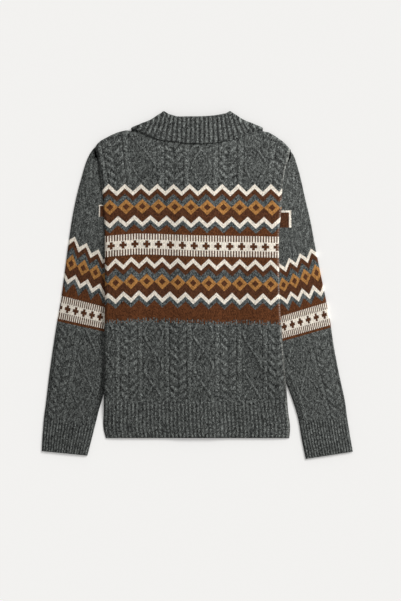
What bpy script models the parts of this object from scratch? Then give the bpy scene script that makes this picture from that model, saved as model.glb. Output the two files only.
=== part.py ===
"""Knitted polo-collar cardigan, buttoned and laid flat on its fronts with its back upward.

Each piece is a closed wall of knit.  Cables and ribs are raised in the outer skin of a wall,
over a plain inner skin.  Lengths are millimetres: x across the garment, y towards the collar
and z up from the surface that it lies on.  The wearer's left is at negative x.
"""

import math

import bmesh
import bpy
import numpy as np

MM = 0.001

# ---------------------------------------------------------------- driving dimensions
WALL = 2.6                 # knit of the back, fronts and sleeves, without relief
COLLAR_WALL = 2.4
SEAM = 0.3                 # clearance between pieces that are sewn together
FACET_ROOM = 0.35          # more clearance where two faceted curves run side by side
TUBE_AIR = 0.4             # air between the two layers of a flattened sleeve
SLEEVE_PUFF = 0.6          # how much more air there is along a sleeve's middle
CABLE_HEIGHT = 1.6
RIB_HEIGHT = 1.1
COLLAR_RIB_HEIGHT = 1.0

HEM_Y = -297.4
HEM_RIB_TOP = -223.0
LOWER_CABLES_TOP = -73.0
YOKE_BOTTOM = 200.0
YOKE_TOP = 304.0
CABLE_ROW = 8.0            # one row of cable relief
HEM_RIBS = 48
COLLAR_RIBS = 24
CUFF_RIBS = 17

BAND_WIDTH = 35.0
BAND_WALL = 2.4
BAND_TOP = 241.0
BUTTON_RADIUS = 10.0
BUTTON_THICKNESS = 2.6
BUTTON_COUNT = 6
BUTTON_FIRST_Y = -262.0
BUTTON_LAST_Y = 223.0
BUTTON_HOLE_RADIUS = 1.1
BUTTON_HOLE_OFFSET = 2.4
BUTTON_BEVEL = 0.7
BUTTON_SIDES = 16
BUTTON_HOLE_SIDES = 4

# ---------------------------------------------------------------- levels of the layers
TUBE_TOP = 2 * WALL + TUBE_AIR + SLEEVE_PUFF
OVER_TUBE = TUBE_TOP + SEAM                      # a panel that lies on a sleeve
OVER_COLLAR = COLLAR_WALL + SEAM                 # a front that lies on the collar's fall
BUTTONHOLE_BAND_Z = BUTTON_THICKNESS + SEAM
BUTTON_BAND_Z = BUTTONHOLE_BAND_Z + BAND_WALL + SEAM
BACK_Z = OVER_COLLAR + WALL + 0.4                # the back where it lies on plain fronts
BACK_OVER_BANDS = BUTTON_BAND_Z + BAND_WALL + 2 * SEAM + 0.1
LAYER_ROOM = 0.5                                 # back above the front that it lies on
# Ramps between levels: how far from the thing below a ramp starts, and how long it is.
BACK_OFF_SLEEVE = (10.0, 50.0)
BACK_OFF_BANDS = (3.0, 46.0)
BACK_PAST_BANDS = (-3.0, 32.0)                   # the same above the bands' upper ends
FRONT_OFF_SLEEVE = (7.0, 30.0)
FRONT_OFF_BAND = (0.0, 34.0)
FRONT_OFF_COLLAR = (-22.0, 18.0)
FRONT_PAST_UNDERARM = (24.0, 42.0)
SLOPE_REACH = 6.0          # the back clears the front's side this far up and down from a point

# ---------------------------------------------------------------- outlines
BODY_EDGES = {             # visible side edges of the back, from the hem up
    "y":     (-297, -282, -243, -190, -145, -87, -28, 42, 98, 149, 196, 221, 250, 268),
    "left":  (-178, -182, -182, -181.5, -180.5, -180, -179.5, -179.5, -180, -182, -186, -189,
              -193, -199),
    "right": (180, 181.5, 177.5, 173.5, 169.7, 165, 161.5, 160, 160, 164.4, 167, 171.5, 178.5,
              182.5),
}
SHOULDER_LINE = {          # top edge of the back, from the left shoulder to the right one
    "x": (-199, -195, -189, -179, -168, -154, -138, -126, -114, -100, -88,
          88, 100, 114, 126, 140, 150, 158, 166, 172, 177.5, 182.5),
    "y": (268, 275, 281, 287, 293, 299, 302.5, 301, 307, 312, 316,
          316, 312, 307, 301, 298.5, 293, 287.5, 281.5, 276, 270, 264.5),
}
NECK_HALF_WIDTH = 88.0
NECK_POINT_Y = 316.0
BACK_NECK_DROP = 15.0
INSET = 3.0                # thickness of the edge that the back turns down over the fronts
FRONT_NECK_DROP = NECK_POINT_Y - INSET - 2 * SEAM - BAND_TOP

COLLAR_REACH = {           # how far down the fall lies under a front, with room to spare
    "x": (0, 18, 74, 104, 124, 140, 150, 165),
    "y": (240, 230, 150, 176, 215, 250, 320, 430),
}

# Columns of cable relief on the back: left edge of each at the foot of the yoke and in the
# zone under the patterned band, and its lean in the yoke.
BACK_CABLES = (
    # kind,     yoke x, lower x, lean
    ("half",    -188.0, -181.0, -0.10),
    ("cord",    -182.3, -160.0, -0.20),
    ("vee",     -171.6, -150.0, -0.20),
    ("cord",    -136.5, -116.0, -0.12),
    ("lattice", -125.8, -106.0, -0.08),
    ("cord",     -77.0,  -64.4, -0.04),
    ("vee",      -63.4,  -54.0, 0.00),
    ("cord",     -26.3,  -20.1, 0.00),
    ("lattice",  -14.2,   -9.8, 0.00),
    ("cord",      29.3,   34.1, 0.00),
    ("vee",       41.3,   44.3, 0.00),
    ("cord",      77.0,   77.0, 0.02),
    ("lattice",   88.7,   87.4, 0.04),
    ("cord",     135.5,  127.7, 0.08),
    ("vee",      146.3,  137.5, 0.12),
    ("end",      182.3,  169.0, 0.12),
)
# The same on a sleeve, as shares of its width from its outer fold to its inner one.
SLEEVE_CABLES = (
    # kind,     share
    ("vee",     0.05),
    ("cord",    0.34),
    ("lattice", 0.43),
    ("cord",    0.81),
    ("end",     0.90),
)
LATTICE_ROWS = 8           # rows in one diamond
STRAND_HALF_WIDTH = 4.4
STRAND_CROSSING = 2.2      # offset of a strand from the middle where two cross
STRAND_MARGIN = 0.5        # least room from a strand to the border of its column
LATTICE_DIP = 0.1          # relief beside a strand, as a share of the cables' height
LATTICE_FILLING = 0.3      # relief in the middle of a diamond
CROSSING_RELIEF = 0.9
VEE_DROP = 5.0             # how far the point of a chevron hangs under its shoulders
VEE_SHARES = (0.24, 0.5, 0.76)       # a chevron's shoulders and point across its column
VEE_RIDGE = (1.0, 0.75)              # relief at its shoulders and at its point
VEE_FURROW = (0.35, 0.1)             # the same on the row between two chevrons
CORD_RELIEF = 0.7
HALF_LATTICE = (0.25, 0.5, 0.6)      # where a cut diamond's strand starts, its swing, its side
LOWER_FIRST_ROW = 3        # row of the pattern at the foot of the lower cables
YOKE_FIRST_ROW = 4         # and at the foot of the yoke's

# Sections of each sleeve from the armhole to the cuff: its outer fold, its inner fold, and
# how far the line between them bows towards the body.
SLEEVE_COLUMNS = ("outer_x", "outer_y", "inner_x", "inner_y", "bow")
LEFT_SLEEVE = (
    (-190.0, 275.0, -167.7, 41.9, 4.0),
    (-203.8, 264.2, -164.8, 37.0, 3.0),
    (-215.5, 241.8, -161.9, 32.0, 2.0),
    (-225.2, 209.6, -158.9, 26.0, 0.0),
    (-234.0, 176.5, -156.0, 18.5, 0.0),
    (-242.8, 133.6, -153.1, 8.8, 0.0),
    (-249.6, 88.7, -151.1, -5.0, 0.0),
    (-257.4, 30.2, -151.1, -28.3, 0.0),
    (-265.2, -28.3, -156.0, -63.4, 0.0),
    (-272.5, -70.0, -162.0, -98.5, 0.0),
    (-279.8, -116.0, -170.6, -141.4, 0.0),
    (-288.0, -174.5, -177.5, -194.0, 0.0),
    (-294.5, -229.1, -191.1, -242.8, 0.0),
    (-298.4, -258.4, -197.9, -270.0, 0.0),
    (-301.3, -293.5, -205.7, -301.3, 0.0),
    (-302.8, -322.7, -213.5, -331.5, 0.0),
)
RIGHT_SLEEVE = (
    (172.6, 271.0, 148.2, 38.0, 4.0),
    (187.2, 255.5, 145.3, 34.0, 3.0),
    (196.0, 231.0, 142.4, 29.3, 2.0),
    (203.0, 205.0, 139.4, 23.4, 0.0),
    (211.0, 168.7, 136.5, 16.6, 0.0),
    (220.7, 127.7, 133.6, 5.0, 0.0),
    (229.1, 82.9, 131.6, -8.8, 0.0),
    (239.9, 28.3, 131.6, -34.0, 0.0),
    (251.6, -28.3, 135.5, -69.2, 0.0),
    (259.7, -71.2, 141.4, -102.4, 0.0),
    (266.5, -118.0, 150.2, -141.4, 0.0),
    (276.5, -170.6, 174.5, -193.0, 0.0),
    (287.6, -221.3, 189.2, -233.0, 0.0),
    (292.5, -256.4, 197.5, -262.0, 0.0),
    (298.4, -293.5, 203.6, -298.0, 0.0),
    (303.8, -323.7, 211.6, -338.0, 0.0),
)
# Section numbers, from the tables above, at which the knit of a sleeve changes.
BAND_START = 6.0
BAND_END = 9.2
CUFF_START = 13.0
CUFF_END = 15.0

UNDERARM_Y = 42.0
LEFT_EXIT_Y = -230.0       # where a sleeve's inner fold comes out from under the body
RIGHT_EXIT_Y = -200.0
EXIT_RAMP = 42.0

# The collar is one strip, sewn to the neck, folded, and turned down outside.  Each row gives
# a cut through it: where it leaves the seam (x on the back neck, or an angle round the front
# neck), its fold, the point where the fall passes round the shoulder from the front to the
# back, and its free edge.  Share runs across the back from left to right.
COLLAR_BACK_COLUMNS = ("share", "seam_x", "fold_x", "fold_y", "turn_x", "turn_y",
                       "edge_x", "edge_y")
COLLAR_BACK = (
    (0.20, -86.6, -63.5, 334.3, -63.5, 334.3, -79.0, 286.1),
    (0.26, -72.0, -52.0, 331.0, -52.0, 331.0, -62.0, 282.0),
    (0.32, -56.0, -41.0, 327.6, -41.0, 327.6, -43.7, 280.0),
    (0.42, -25.0, -18.0, 327.0, -18.0, 327.0, -19.0, 277.6),
    (0.52, 5.0, 5.1, 327.0, 5.1, 327.0, 5.1, 276.3),
    (0.68, 53.0, 41.0, 330.0, 41.0, 330.0, 44.9, 279.4),
    (0.74, 70.0, 53.0, 332.6, 53.0, 332.6, 62.0, 282.4),
    (0.80, 86.6, 63.0, 334.3, 63.0, 334.3, 78.0, 286.1),
)
# From the collar's point to the shoulder, for the left end; x is mirrored for the right one.
COLLAR_END_COLUMNS = ("share", "seam_angle", "fold_x", "fold_y", "turn_x", "turn_y",
                      "edge_x", "edge_y")
COLLAR_END = (
    (-1.00, 0.0, -18.5, 254.0, -74.0, 184.0, -74.0, 184.0),
    (-0.65, 25.0, -38.0, 267.0, -101.0, 222.0, -101.0, 222.0),
    (-0.30, 50.0, -54.0, 286.0, -117.0, 260.0, -117.0, 260.0),
    (-0.06, 67.0, -62.5, 301.0, -127.0, 297.0, -127.0, 297.0),
    (0.00, 71.0, -64.0, 305.0, -127.0, 306.6, -127.0, 306.6),
    (0.04, 76.0, -65.5, 312.0, -111.0, 309.0, -120.0, 303.5),
    (0.08, 80.0, -66.5, 318.0, -97.0, 314.5, -109.2, 299.5),
    (0.12, 84.0, -66.5, 324.0, -86.0, 319.5, -99.5, 295.0),
    (0.16, 87.0, -65.5, 329.5, -75.0, 327.0, -89.5, 290.5),
    (0.20, 90.0, -63.5, 334.3, -63.5, 334.3, -79.0, 286.1),
)
COLLAR_MIDDLE_Z = 5.5      # between the collar's back layers and its front ones
STAND_OFFSET = 1.5         # of the stand's middle from that level
FALL_OFFSET = COLLAR_MIDDLE_Z - COLLAR_WALL / 2   # of the fall's, which lies on the floor
SHOULDER_SHARE = 0.2       # where the fold itself passes from the back to a front
STAND_TURN_SHARE = 0.21    # where the stand does
TURN_SPAN = 3.0            # length of each half of the bend that passes a shoulder
END_TURN = (0.41, 0.91)    # the way it bulges there
COLLAR_SEAM = 1.0          # clearance of its seam from the front neck, which is faceted

# ---------------------------------------------------------------- colours of the yarns
CHARCOAL = (0.075, 0.082, 0.084)
HORN = (0.055, 0.035, 0.025)


# ---------------------------------------------------------------- small helpers
def ease(t):
    """Smooth step from 0 to 1."""
    t = min(max(t, 0.0), 1.0)
    return t * t * (3.0 - 2.0 * t)


def ramp(distance, start_and_length):
    """Smooth step that starts at a distance and takes a length."""
    start, length = start_and_length
    return ease((distance - start) / length)


def dome(t):
    """Quarter circle from 0 to 1."""
    t = min(max(t, 0.0), 1.0)
    return math.sqrt(1.0 - (1.0 - t) ** 2)


def mix(a, b, t):
    return a + (b - a) * t


def smooth_curve(knots, values):
    """A curve through the given values, with slopes taken from their neighbours."""
    knots = np.asarray(knots, float)
    values = np.asarray(values, float)
    slopes = np.gradient(values, knots)

    def at(t):
        t = min(max(t, knots[0]), knots[-1])
        i = min(int(np.searchsorted(knots, t, side="right")) - 1, len(knots) - 2)
        span = knots[i + 1] - knots[i]
        u = (t - knots[i]) / span
        rise = values[i + 1] - values[i]
        bend_a = slopes[i] * span - rise
        bend_b = rise - slopes[i + 1] * span
        return values[i] + u * rise + u * (1 - u) * ((1 - u) * bend_a + u * bend_b)

    return at


def columns_of(rows, names):
    """A smooth curve for each named column of a table, against its first column."""
    table = list(zip(*rows))
    return {name: smooth_curve(table[0], table[i]) for i, name in enumerate(names)}


class Wall:
    """Points and faces of one closed wall."""

    def __init__(self):
        self.points = []
        self.faces = []

    def chain(self, points):
        first = len(self.points)
        self.points.extend(tuple(p) for p in points)
        return list(range(first, len(self.points)))

    def strip(self, a, b):
        """Quads between two chains of the same length."""
        for i in range(len(a) - 1):
            self.faces.append((a[i], a[i + 1], b[i + 1], b[i]))

    def split_strip(self, a, b):
        """The same in triangles, each quad cut along its shorter diagonal."""
        for i in range(len(a) - 1):
            corners = (a[i], a[i + 1], b[i + 1], b[i])
            places = [self.points[c] for c in corners]
            if math.dist(places[0], places[2]) < math.dist(places[1], places[3]):
                order = ((0, 1, 2), (0, 2, 3))
            else:
                order = ((0, 1, 3), (1, 2, 3))
            for triangle in order:
                self.faces.append(tuple(corners[k] for k in triangle))

    def zip(self, a, b):
        """Triangles between two chains of any lengths."""
        share_a = self.shares(a)
        share_b = self.shares(b)
        i = j = 0
        while i < len(a) - 1 or j < len(b) - 1:
            b_is_done = j == len(b) - 1
            if b_is_done or (i < len(a) - 1 and share_a[i + 1] <= share_b[j + 1]):
                self.faces.append((a[i], a[i + 1], b[j]))
                i += 1
            else:
                self.faces.append((a[i], b[j + 1], b[j]))
                j += 1

    def shares(self, chain):
        """How far along its chain each point is, from 0 to 1."""
        steps = [0.0]
        for a, b in zip(chain, chain[1:]):
            pa, pb = self.points[a], self.points[b]
            steps.append(steps[-1] + math.hypot(pb[0] - pa[0], pb[1] - pa[1]) + 1e-6)
        return [s / steps[-1] for s in steps]

    def make(self, name, material):
        mesh = bpy.data.meshes.new(name)
        scaled = [(x * MM, y * MM, z * MM) for x, y, z in self.points]
        mesh.from_pydata(scaled, [], self.faces)
        shape = bmesh.new()
        shape.from_mesh(mesh)
        bmesh.ops.recalc_face_normals(shape, faces=shape.faces)
        shape.to_mesh(mesh)
        shape.free()
        mesh.shade_smooth()
        mesh.set_sharp_from_angle(angle=math.radians(50))
        mesh.materials.append(material)
        piece = bpy.data.objects.new(name, mesh)
        bpy.context.scene.collection.objects.link(piece)
        return piece


def yarn(name, colour, roughness=0.95):
    material = bpy.data.materials.new(name)
    material.use_nodes = True
    shader = material.node_tree.nodes["Principled BSDF"]
    shader.inputs["Base Color"].default_value = (*colour, 1.0)
    shader.inputs["Roughness"].default_value = roughness
    shader.inputs["Metallic"].default_value = 0.0
    return material


# ---------------------------------------------------------------- the body's outline
left_edge = smooth_curve(BODY_EDGES["y"], BODY_EDGES["left"])
right_edge = smooth_curve(BODY_EDGES["y"], BODY_EDGES["right"])


def side_edge(side, y):
    return left_edge(y) if side < 0 else right_edge(y)


def back_top(x):
    """Shoulder line, with the back neck's curve in the middle."""
    if abs(x) < NECK_HALF_WIDTH:
        return NECK_POINT_Y - BACK_NECK_DROP * (1.0 - (abs(x) / NECK_HALF_WIDTH) ** 2)
    return float(np.interp(x, SHOULDER_LINE["x"], SHOULDER_LINE["y"]))


def front_neck(angle):
    """Point on the front neck, from 0 degrees at the band to 90 at the shoulder."""
    turn = math.radians(angle)
    start = BAND_WIDTH / 2
    return (start + (NECK_HALF_WIDTH - start) * math.sin(turn),
            BAND_TOP + FRONT_NECK_DROP * (1.0 - math.cos(turn)))


NECK_ANGLES = (0, 15, 30, 45, 60, 75, 90)
NECK_NODES = tuple(front_neck(angle) for angle in NECK_ANGLES)
SHOULDER_NODES = (94.0, 104.0, 118.0, 135.0, 150.0, 163.0)


def front_top(x):
    """Top edge of a front: its neck, then the shoulder line."""
    if abs(x) < NECK_HALF_WIDTH:
        xs, ys = zip(*NECK_NODES)
        return float(np.interp(abs(x), xs, ys))
    return back_top(x)


# ---------------------------------------------------------------- how the layers are stacked
def sleeve_table(side):
    return LEFT_SLEEVE if side < 0 else RIGHT_SLEEVE


def armhole_line(side, y):
    """x of the sleeve's open end under the side of the back."""
    outer_x, outer_y, inner_x, inner_y, bow = sleeve_table(side)[0]
    share = (outer_y - y) / (outer_y - inner_y)
    share = min(max(share, 0.0), 1.0)
    return mix(outer_x, inner_x, share) - side * bow * 4 * share * (1 - share)


def tube_inside(side, y):
    """x of the inner fold of a sleeve, or of its open end above the underarm."""
    if y > UNDERARM_Y:
        return armhole_line(side, y)
    table = sleeve_table(side)[::-1]
    return float(np.interp(y, [row[3] for row in table], [row[2] for row in table]))


def exit_y(side):
    return LEFT_EXIT_Y if side < 0 else RIGHT_EXIT_Y


def over_exit(side, y):
    """1 where the sleeve is still under the body, 0 where it has come out."""
    return ease((y - exit_y(side) + EXIT_RAMP) / EXIT_RAMP)


def front_side_level(side, y):
    """Underside of a front along its side: up on the sleeve below the underarm."""
    above_underarm = ramp(y - UNDERARM_Y, FRONT_PAST_UNDERARM)
    return OVER_TUBE * (1.0 - above_underarm) * over_exit(side, y)


def inward(side, x, line):
    """Distance of x from a line, towards the middle of the body."""
    return (line - x) * side


def front_level(side, x, y):
    """Underside of a front."""
    from_tube = inward(side, x, tube_inside(side, y))
    on_sleeve = front_side_level(side, y) * (1.0 - ramp(from_tube, FRONT_OFF_SLEEVE))
    band_level = BUTTON_BAND_Z if side < 0 else BUTTONHOLE_BAND_Z
    by_band = band_level * (1.0 - ramp(abs(x) - BAND_WIDTH / 2, FRONT_OFF_BAND))
    reach = float(np.interp(abs(x), COLLAR_REACH["x"], COLLAR_REACH["y"]))
    on_collar = OVER_COLLAR * ramp(y - reach, FRONT_OFF_COLLAR)
    return max(on_sleeve, by_band, on_collar)


def edge_level(side, y):
    """Lowest point of the back where it turns down over its side edge."""
    return OVER_TUBE * over_exit(side, y)


def back_level(x, y):
    """Underside of the back, clear of all that it lies on."""
    side = -1 if x < 0 else 1
    from_tube = inward(side, x, tube_inside(side, y))
    on_front = max(front_side_level(side, y - SLOPE_REACH),
                   front_side_level(side, y + SLOPE_REACH))
    on_front += WALL + LAYER_ROOM
    by_side = max(on_front, edge_level(side, y) + LAYER_ROOM)
    level = mix(by_side, BACK_Z, ramp(from_tube, BACK_OFF_SLEEVE))
    over_bands = 1.0 - ramp(abs(x) - BAND_WIDTH / 2, BACK_OFF_BANDS)
    over_bands *= 1.0 - ramp(y - BAND_TOP, BACK_PAST_BANDS)
    return level + (BACK_OVER_BANDS - BACK_Z) * over_bands


# ---------------------------------------------------------------- cable relief
def lattice_lines(left, right, row):
    """x and height of the lines of a diamond lattice: two strands that cross and part."""
    middle = (left + right) / 2
    reach = (right - left) / 2 - STRAND_HALF_WIDTH - STRAND_MARGIN
    phase = row % LATTICE_ROWS
    apart = min(phase, LATTICE_ROWS - phase) / (LATTICE_ROWS / 2)
    strand = mix(STRAND_CROSSING, reach, apart)
    inner = max(strand - STRAND_HALF_WIDTH, STRAND_CROSSING / 2)
    dip = LATTICE_DIP if apart > 0 else CROSSING_RELIEF
    filling = LATTICE_FILLING if strand > 2 * STRAND_HALF_WIDTH else dip
    return [(middle - strand - STRAND_HALF_WIDTH, 0.0), (middle - strand, 1.0),
            (middle - inner, dip), (middle, filling), (middle + inner, dip),
            (middle + strand, 1.0), (middle + strand + STRAND_HALF_WIDTH, 0.0)]


def vee_lines(left, right, row):
    """The lines of a column of nested chevrons, a ridge on every second row."""
    shoulder, point = VEE_RIDGE if row % 2 else VEE_FURROW
    return [(mix(left, right, share), height)
            for share, height in zip(VEE_SHARES, (shoulder, point, shoulder))]


def half_lines(left, right, row):
    """The right half of a lattice that is cut by the edge."""
    phase = row % LATTICE_ROWS
    apart = min(phase, LATTICE_ROWS - phase) / (LATTICE_ROWS / 2)
    start, swing, beside = HALF_LATTICE
    strand = mix(left, right, start + swing * apart)
    return [(strand, 1.0), (mix(strand, right, beside), 0.0)]


def cable_lines(kind, left, right, row):
    """x, relief and drop of the lines inside one column of relief."""
    if kind == "cord":
        return [((left + right) / 2, CORD_RELIEF, 0.0)]
    if kind == "vee":
        drops = (VEE_DROP / 2, VEE_DROP, VEE_DROP / 2)
        return [(x, h, drop) for (x, h), drop in zip(vee_lines(left, right, row), drops)]
    if kind == "lattice":
        return [(x, h, 0.0) for x, h in lattice_lines(left, right, row)]
    return [(x, h, 0.0) for x, h in half_lines(left, right, row)]


def relief_row(borders, row):
    """All the lines of relief across a piece, with a furrow at each column's border."""
    lines = []
    for (kind, left), (_, right) in zip(borders, borders[1:]):
        lines.append((left, 0.0, 0.0))
        lines.extend(cable_lines(kind, left, right, row))
    lines.append((borders[-1][1], 0.0, 0.0))
    return lines


# ---------------------------------------------------------------- back
SIDE_ROLL = 6.0            # how far in from its side edge the back is rounded over
END_ROLL = 3.0             # the same at the hem and at the neck
EDGE_STEPS = (0.0, 1.0, 3.2)
LEAST_STEP = 0.8
EDGE_DROP = 0.1            # how little the edge at the neck and the hem is turned down
UNDER_FALL = (-17.0, 8.0)  # ramp of the relief that fades out before the collar's free edge
TOP_EDGE_ON_SLEEVE = (-18.0, 12.0)   # ramp of the shoulder's edge up on to the sleeve's top
RIB_EDGE = 1.2             # from the side edge to the first furrow of the hem
HEM_RIB_FADE = 4.0         # length over which the hem's ribs run out
PLAIN_ROWS = 5             # steps of plain knit between the lower cables and the yoke
NO_FALL = 400.0            # a height above the whole garment


def fall_edge(x):
    """Height on the back of the collar's free edge, and out of reach past its ends."""
    rows = [row for row in COLLAR_END if row[0] >= 0.0]
    xs = [row[-2] for row in rows + list(COLLAR_BACK[1:])]
    ys = [row[-1] for row in rows + list(COLLAR_BACK[1:])]
    xs += [-row[-2] for row in rows[-2::-1]]
    ys += [row[-1] for row in rows[-2::-1]]
    return float(np.interp(x, xs, ys, left=NO_FALL, right=NO_FALL))


def top_edge_level(x, y):
    """Lowest point of the back along its shoulders and neck."""
    if abs(x) < NECK_HALF_WIDTH:
        return back_level(x, y) - EDGE_DROP
    side = -1 if x < 0 else 1
    by_tube = ramp(abs(x) - abs(armhole_line(side, y)), TOP_EDGE_ON_SLEEVE)
    return mix(front_level(side, x, y), OVER_TUBE, by_tube)


def back_outer_z(x, y, relief):
    """Outer skin of the back: its level, its relief and its rounded edges."""
    plain = back_level(x, y) + WALL
    side = -1 if x < 0 else 1
    relief *= 1.0 - ramp(y - fall_edge(x), UNDER_FALL)
    z = plain + relief
    from_side = inward(side, x, side_edge(side, y))
    low = edge_level(side, y)
    z = min(z, mix(low, z, dome(from_side / SIDE_ROLL)))
    from_top = back_top(x) - y
    roll = END_ROLL if abs(x) < NECK_HALF_WIDTH else SIDE_ROLL
    low = top_edge_level(x, y)
    z = min(z, mix(low, z, dome(from_top / roll)))
    low = back_level(x, y) - EDGE_DROP
    return min(z, mix(low, z, dome((y - HEM_Y) / END_ROLL)))


def back_borders(y):
    """Borders of the columns of relief at a height on the back."""
    in_yoke = ease((y - LOWER_CABLES_TOP) / (YOKE_BOTTOM - LOWER_CABLES_TOP))
    rise = max(y - YOKE_BOTTOM, 0.0)
    return [(kind, mix(lower, yoke, in_yoke) + lean * rise)
            for kind, yoke, lower, lean in BACK_CABLES]


def keep_apart(xs, low, high):
    """Keeps columns in order and inside the edges."""
    xs = list(xs)
    floor = low
    for i, x in enumerate(xs):
        xs[i] = floor = max(x, floor + LEAST_STEP)
    ceiling = high
    for i in reversed(range(len(xs))):
        xs[i] = ceiling = min(xs[i], ceiling - LEAST_STEP)
    return xs


def back_row(y, row, strength, tilt):
    """One row of the outer skin.  Tilt is the share of the shoulder's slope that it takes."""
    side_y = min(y, BODY_EDGES["y"][-1])
    left, right = left_edge(side_y), right_edge(side_y)
    lines = relief_row(back_borders(y), row)
    inside = keep_apart([x for x, _, _ in lines], left + EDGE_STEPS[-1],
                        right - EDGE_STEPS[-1])
    xs = [left + s for s in EDGE_STEPS] + inside + [right - s for s in EDGE_STEPS[::-1]]
    plain = [(0.0, 0.0)] * len(EDGE_STEPS)
    shape = plain + [(h, drop) for _, h, drop in lines] + plain
    points = []
    for i, (x, (height, drop)) in enumerate(zip(xs, shape)):
        room = 1.0
        if 0 < i < len(xs) - 1:
            room = min(1.0, (xs[i + 1] - xs[i - 1]) / (2 * STRAND_CROSSING))
        level = y - drop * strength
        level += tilt * (back_top(x) - YOKE_TOP)
        relief = CABLE_HEIGHT * height * strength * room
        points.append((x, level, back_outer_z(x, level, relief)))
    return points


def evenly(start, stop, count):
    return [mix(start, stop, i / count) for i in range(count + 1)]


def back_rows():
    """Height, row number, strength of relief and tilt for every row of the outer skin."""
    lower_count = round((LOWER_CABLES_TOP - HEM_RIB_TOP) / CABLE_ROW)
    rows = []
    for i, y in enumerate(evenly(HEM_RIB_TOP, LOWER_CABLES_TOP, lower_count)):
        strength = 1.0 if 0 < i < lower_count else 0.0
        rows.append((y, i + LOWER_FIRST_ROW, strength, 0.0))
    for y in evenly(LOWER_CABLES_TOP, YOKE_BOTTOM, PLAIN_ROWS)[1:-1]:
        rows.append((y, 0, 0.0, 0.0))
    under_edge = YOKE_TOP - SIDE_ROLL
    yoke_count = round((under_edge - YOKE_BOTTOM) / CABLE_ROW)
    for i, y in enumerate(evenly(YOKE_BOTTOM, under_edge, yoke_count)):
        strength = 1.0 if 0 < i < yoke_count else 0.0
        rows.append((y, i + YOKE_FIRST_ROW, strength, (i / yoke_count) ** 2))
    for step in EDGE_STEPS[::-1]:
        rows.append((YOKE_TOP - step, 0, 0.0, 1.0))
    return rows


def hem_row(y):
    """One row of the ribbed hem: a ridge and a furrow for each rib."""
    left, right = left_edge(y), right_edge(y)
    points = [(left, y, back_outer_z(left, y, 0.0))]
    for i in range(2 * HEM_RIBS + 1):
        x = mix(left + RIB_EDGE, right - RIB_EDGE, i / (2 * HEM_RIBS))
        ridge = RIB_HEIGHT * (i % 2)
        points.append((x, y, back_outer_z(x, y, ridge)))
    points.append((right, y, back_outer_z(right, y, 0.0)))
    return points


INNER_NECK_NODES = (NECK_HALF_WIDTH - 0.3, 55.0, 21.0)
INNER_SIDE_NODES = (-182.0, 171.0)
INNER_ROWS = 20
END_REACH = 1.0            # a point this near to the top or the hem counts as on it


def back_inner(wall):
    """The rows of the plain inner skin."""
    top_low, top_high = BODY_EDGES["left"][-1] + INSET, BODY_EDGES["right"][-1] - INSET
    half = [*INNER_NECK_NODES[::-1], *SHOULDER_NODES]
    nodes = [*(-x for x in half[::-1]), 0.0, *half]
    left_node, right_node = INNER_SIDE_NODES
    nodes = [top_low, left_node, *nodes, right_node, top_high]
    shares = [(x - top_low) / (top_high - top_low) for x in nodes]
    heights = evenly(HEM_Y + INSET, YOKE_TOP - INSET, INNER_ROWS)
    rows = []
    for k, y in enumerate(heights):
        side_y = min(y, BODY_EDGES["y"][-1])
        low, high = left_edge(side_y) + INSET, right_edge(side_y) - INSET
        tilt = ease((y - YOKE_BOTTOM) / (YOKE_TOP - INSET - YOKE_BOTTOM))
        row = []
        for share in shares:
            x = mix(low, high, share)
            level = y + tilt * (back_top(x) - YOKE_TOP)
            row.append((x, level, back_level(x, level)))
        rows.append(wall.chain(row))
        if k:
            wall.strip(rows[-2], rows[-1])
    return rows


def sides_of(rows):
    """The four border chains of a grid: bottom, right, top and left."""
    return [rows[0], [row[-1] for row in rows], rows[-1], [row[0] for row in rows]]


def make_back(material):
    wall = Wall()
    hem_heights = (HEM_Y, HEM_Y + END_ROLL, HEM_RIB_TOP - HEM_RIB_FADE)
    hem = [wall.chain(hem_row(y)) for y in hem_heights]
    main = [wall.chain(back_row(*row)) for row in back_rows()]
    for a, b in zip(hem, hem[1:]):
        wall.strip(a, b)
    wall.zip(hem[-1], main[0])
    for a, b in zip(main, main[1:]):
        wall.strip(a, b)
    inner = back_inner(wall)

    def foot(index):
        """Chain at the lowest level of the edge, under one side of the inner skin."""
        points = []
        for i in index:
            x, y, z = wall.points[i]
            if y > BODY_EDGES["y"][-1] - END_REACH:
                low = top_edge_level(x, y)
            elif abs(y - HEM_Y) < INSET + END_REACH:
                low = z - EDGE_DROP
            else:
                low = edge_level(-1 if x < 0 else 1, y)
            points.append((x, y, min(low, z - EDGE_DROP)))
        return points

    outline = sides_of([*hem, *main])
    loop = []
    for side in sides_of(inner):
        loop.extend(i for i in side if i not in loop)
    feet = dict(zip(loop, wall.chain(foot(loop))))
    for outer_side, inner_side in zip(outline, sides_of(inner)):
        foot_side = [feet[i] for i in inner_side]
        wall.zip(outer_side, foot_side)
        wall.strip(foot_side, inner_side)
    return wall.make("back", material)


# ---------------------------------------------------------------- fronts
FRONT_HEM_LIFT = 4.0       # the fronts' hems end just inside the back's
SHOULDER_END_Y = 262.0
FRONT_TO_ARMHOLE = (4.0, 12.0)       # ramp above the underarm of a front's side edge
FRONT_TILT_Y = UNDERARM_Y + 60.0     # above this the rows start to follow the top edge
FRONT_ROWS = (0.0, 0.07, 0.13, 0.2, 0.3, 0.4, 0.5, 0.56, 0.6, 0.63, 0.66, 0.69, 0.73, 0.79, 0.84,
              0.88, 0.92, 0.96, 1.0)


def front_side(side, y):
    """Side edge of a front: beside the sleeve's open end, or inside the back's edge."""
    by_armhole = armhole_line(side, y) - side * (SEAM + FACET_ROOM)
    by_side = side_edge(side, y) - side * (INSET + SEAM + FACET_ROOM)
    return mix(by_side, by_armhole, ramp(y - UNDERARM_Y, FRONT_TO_ARMHOLE))


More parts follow.
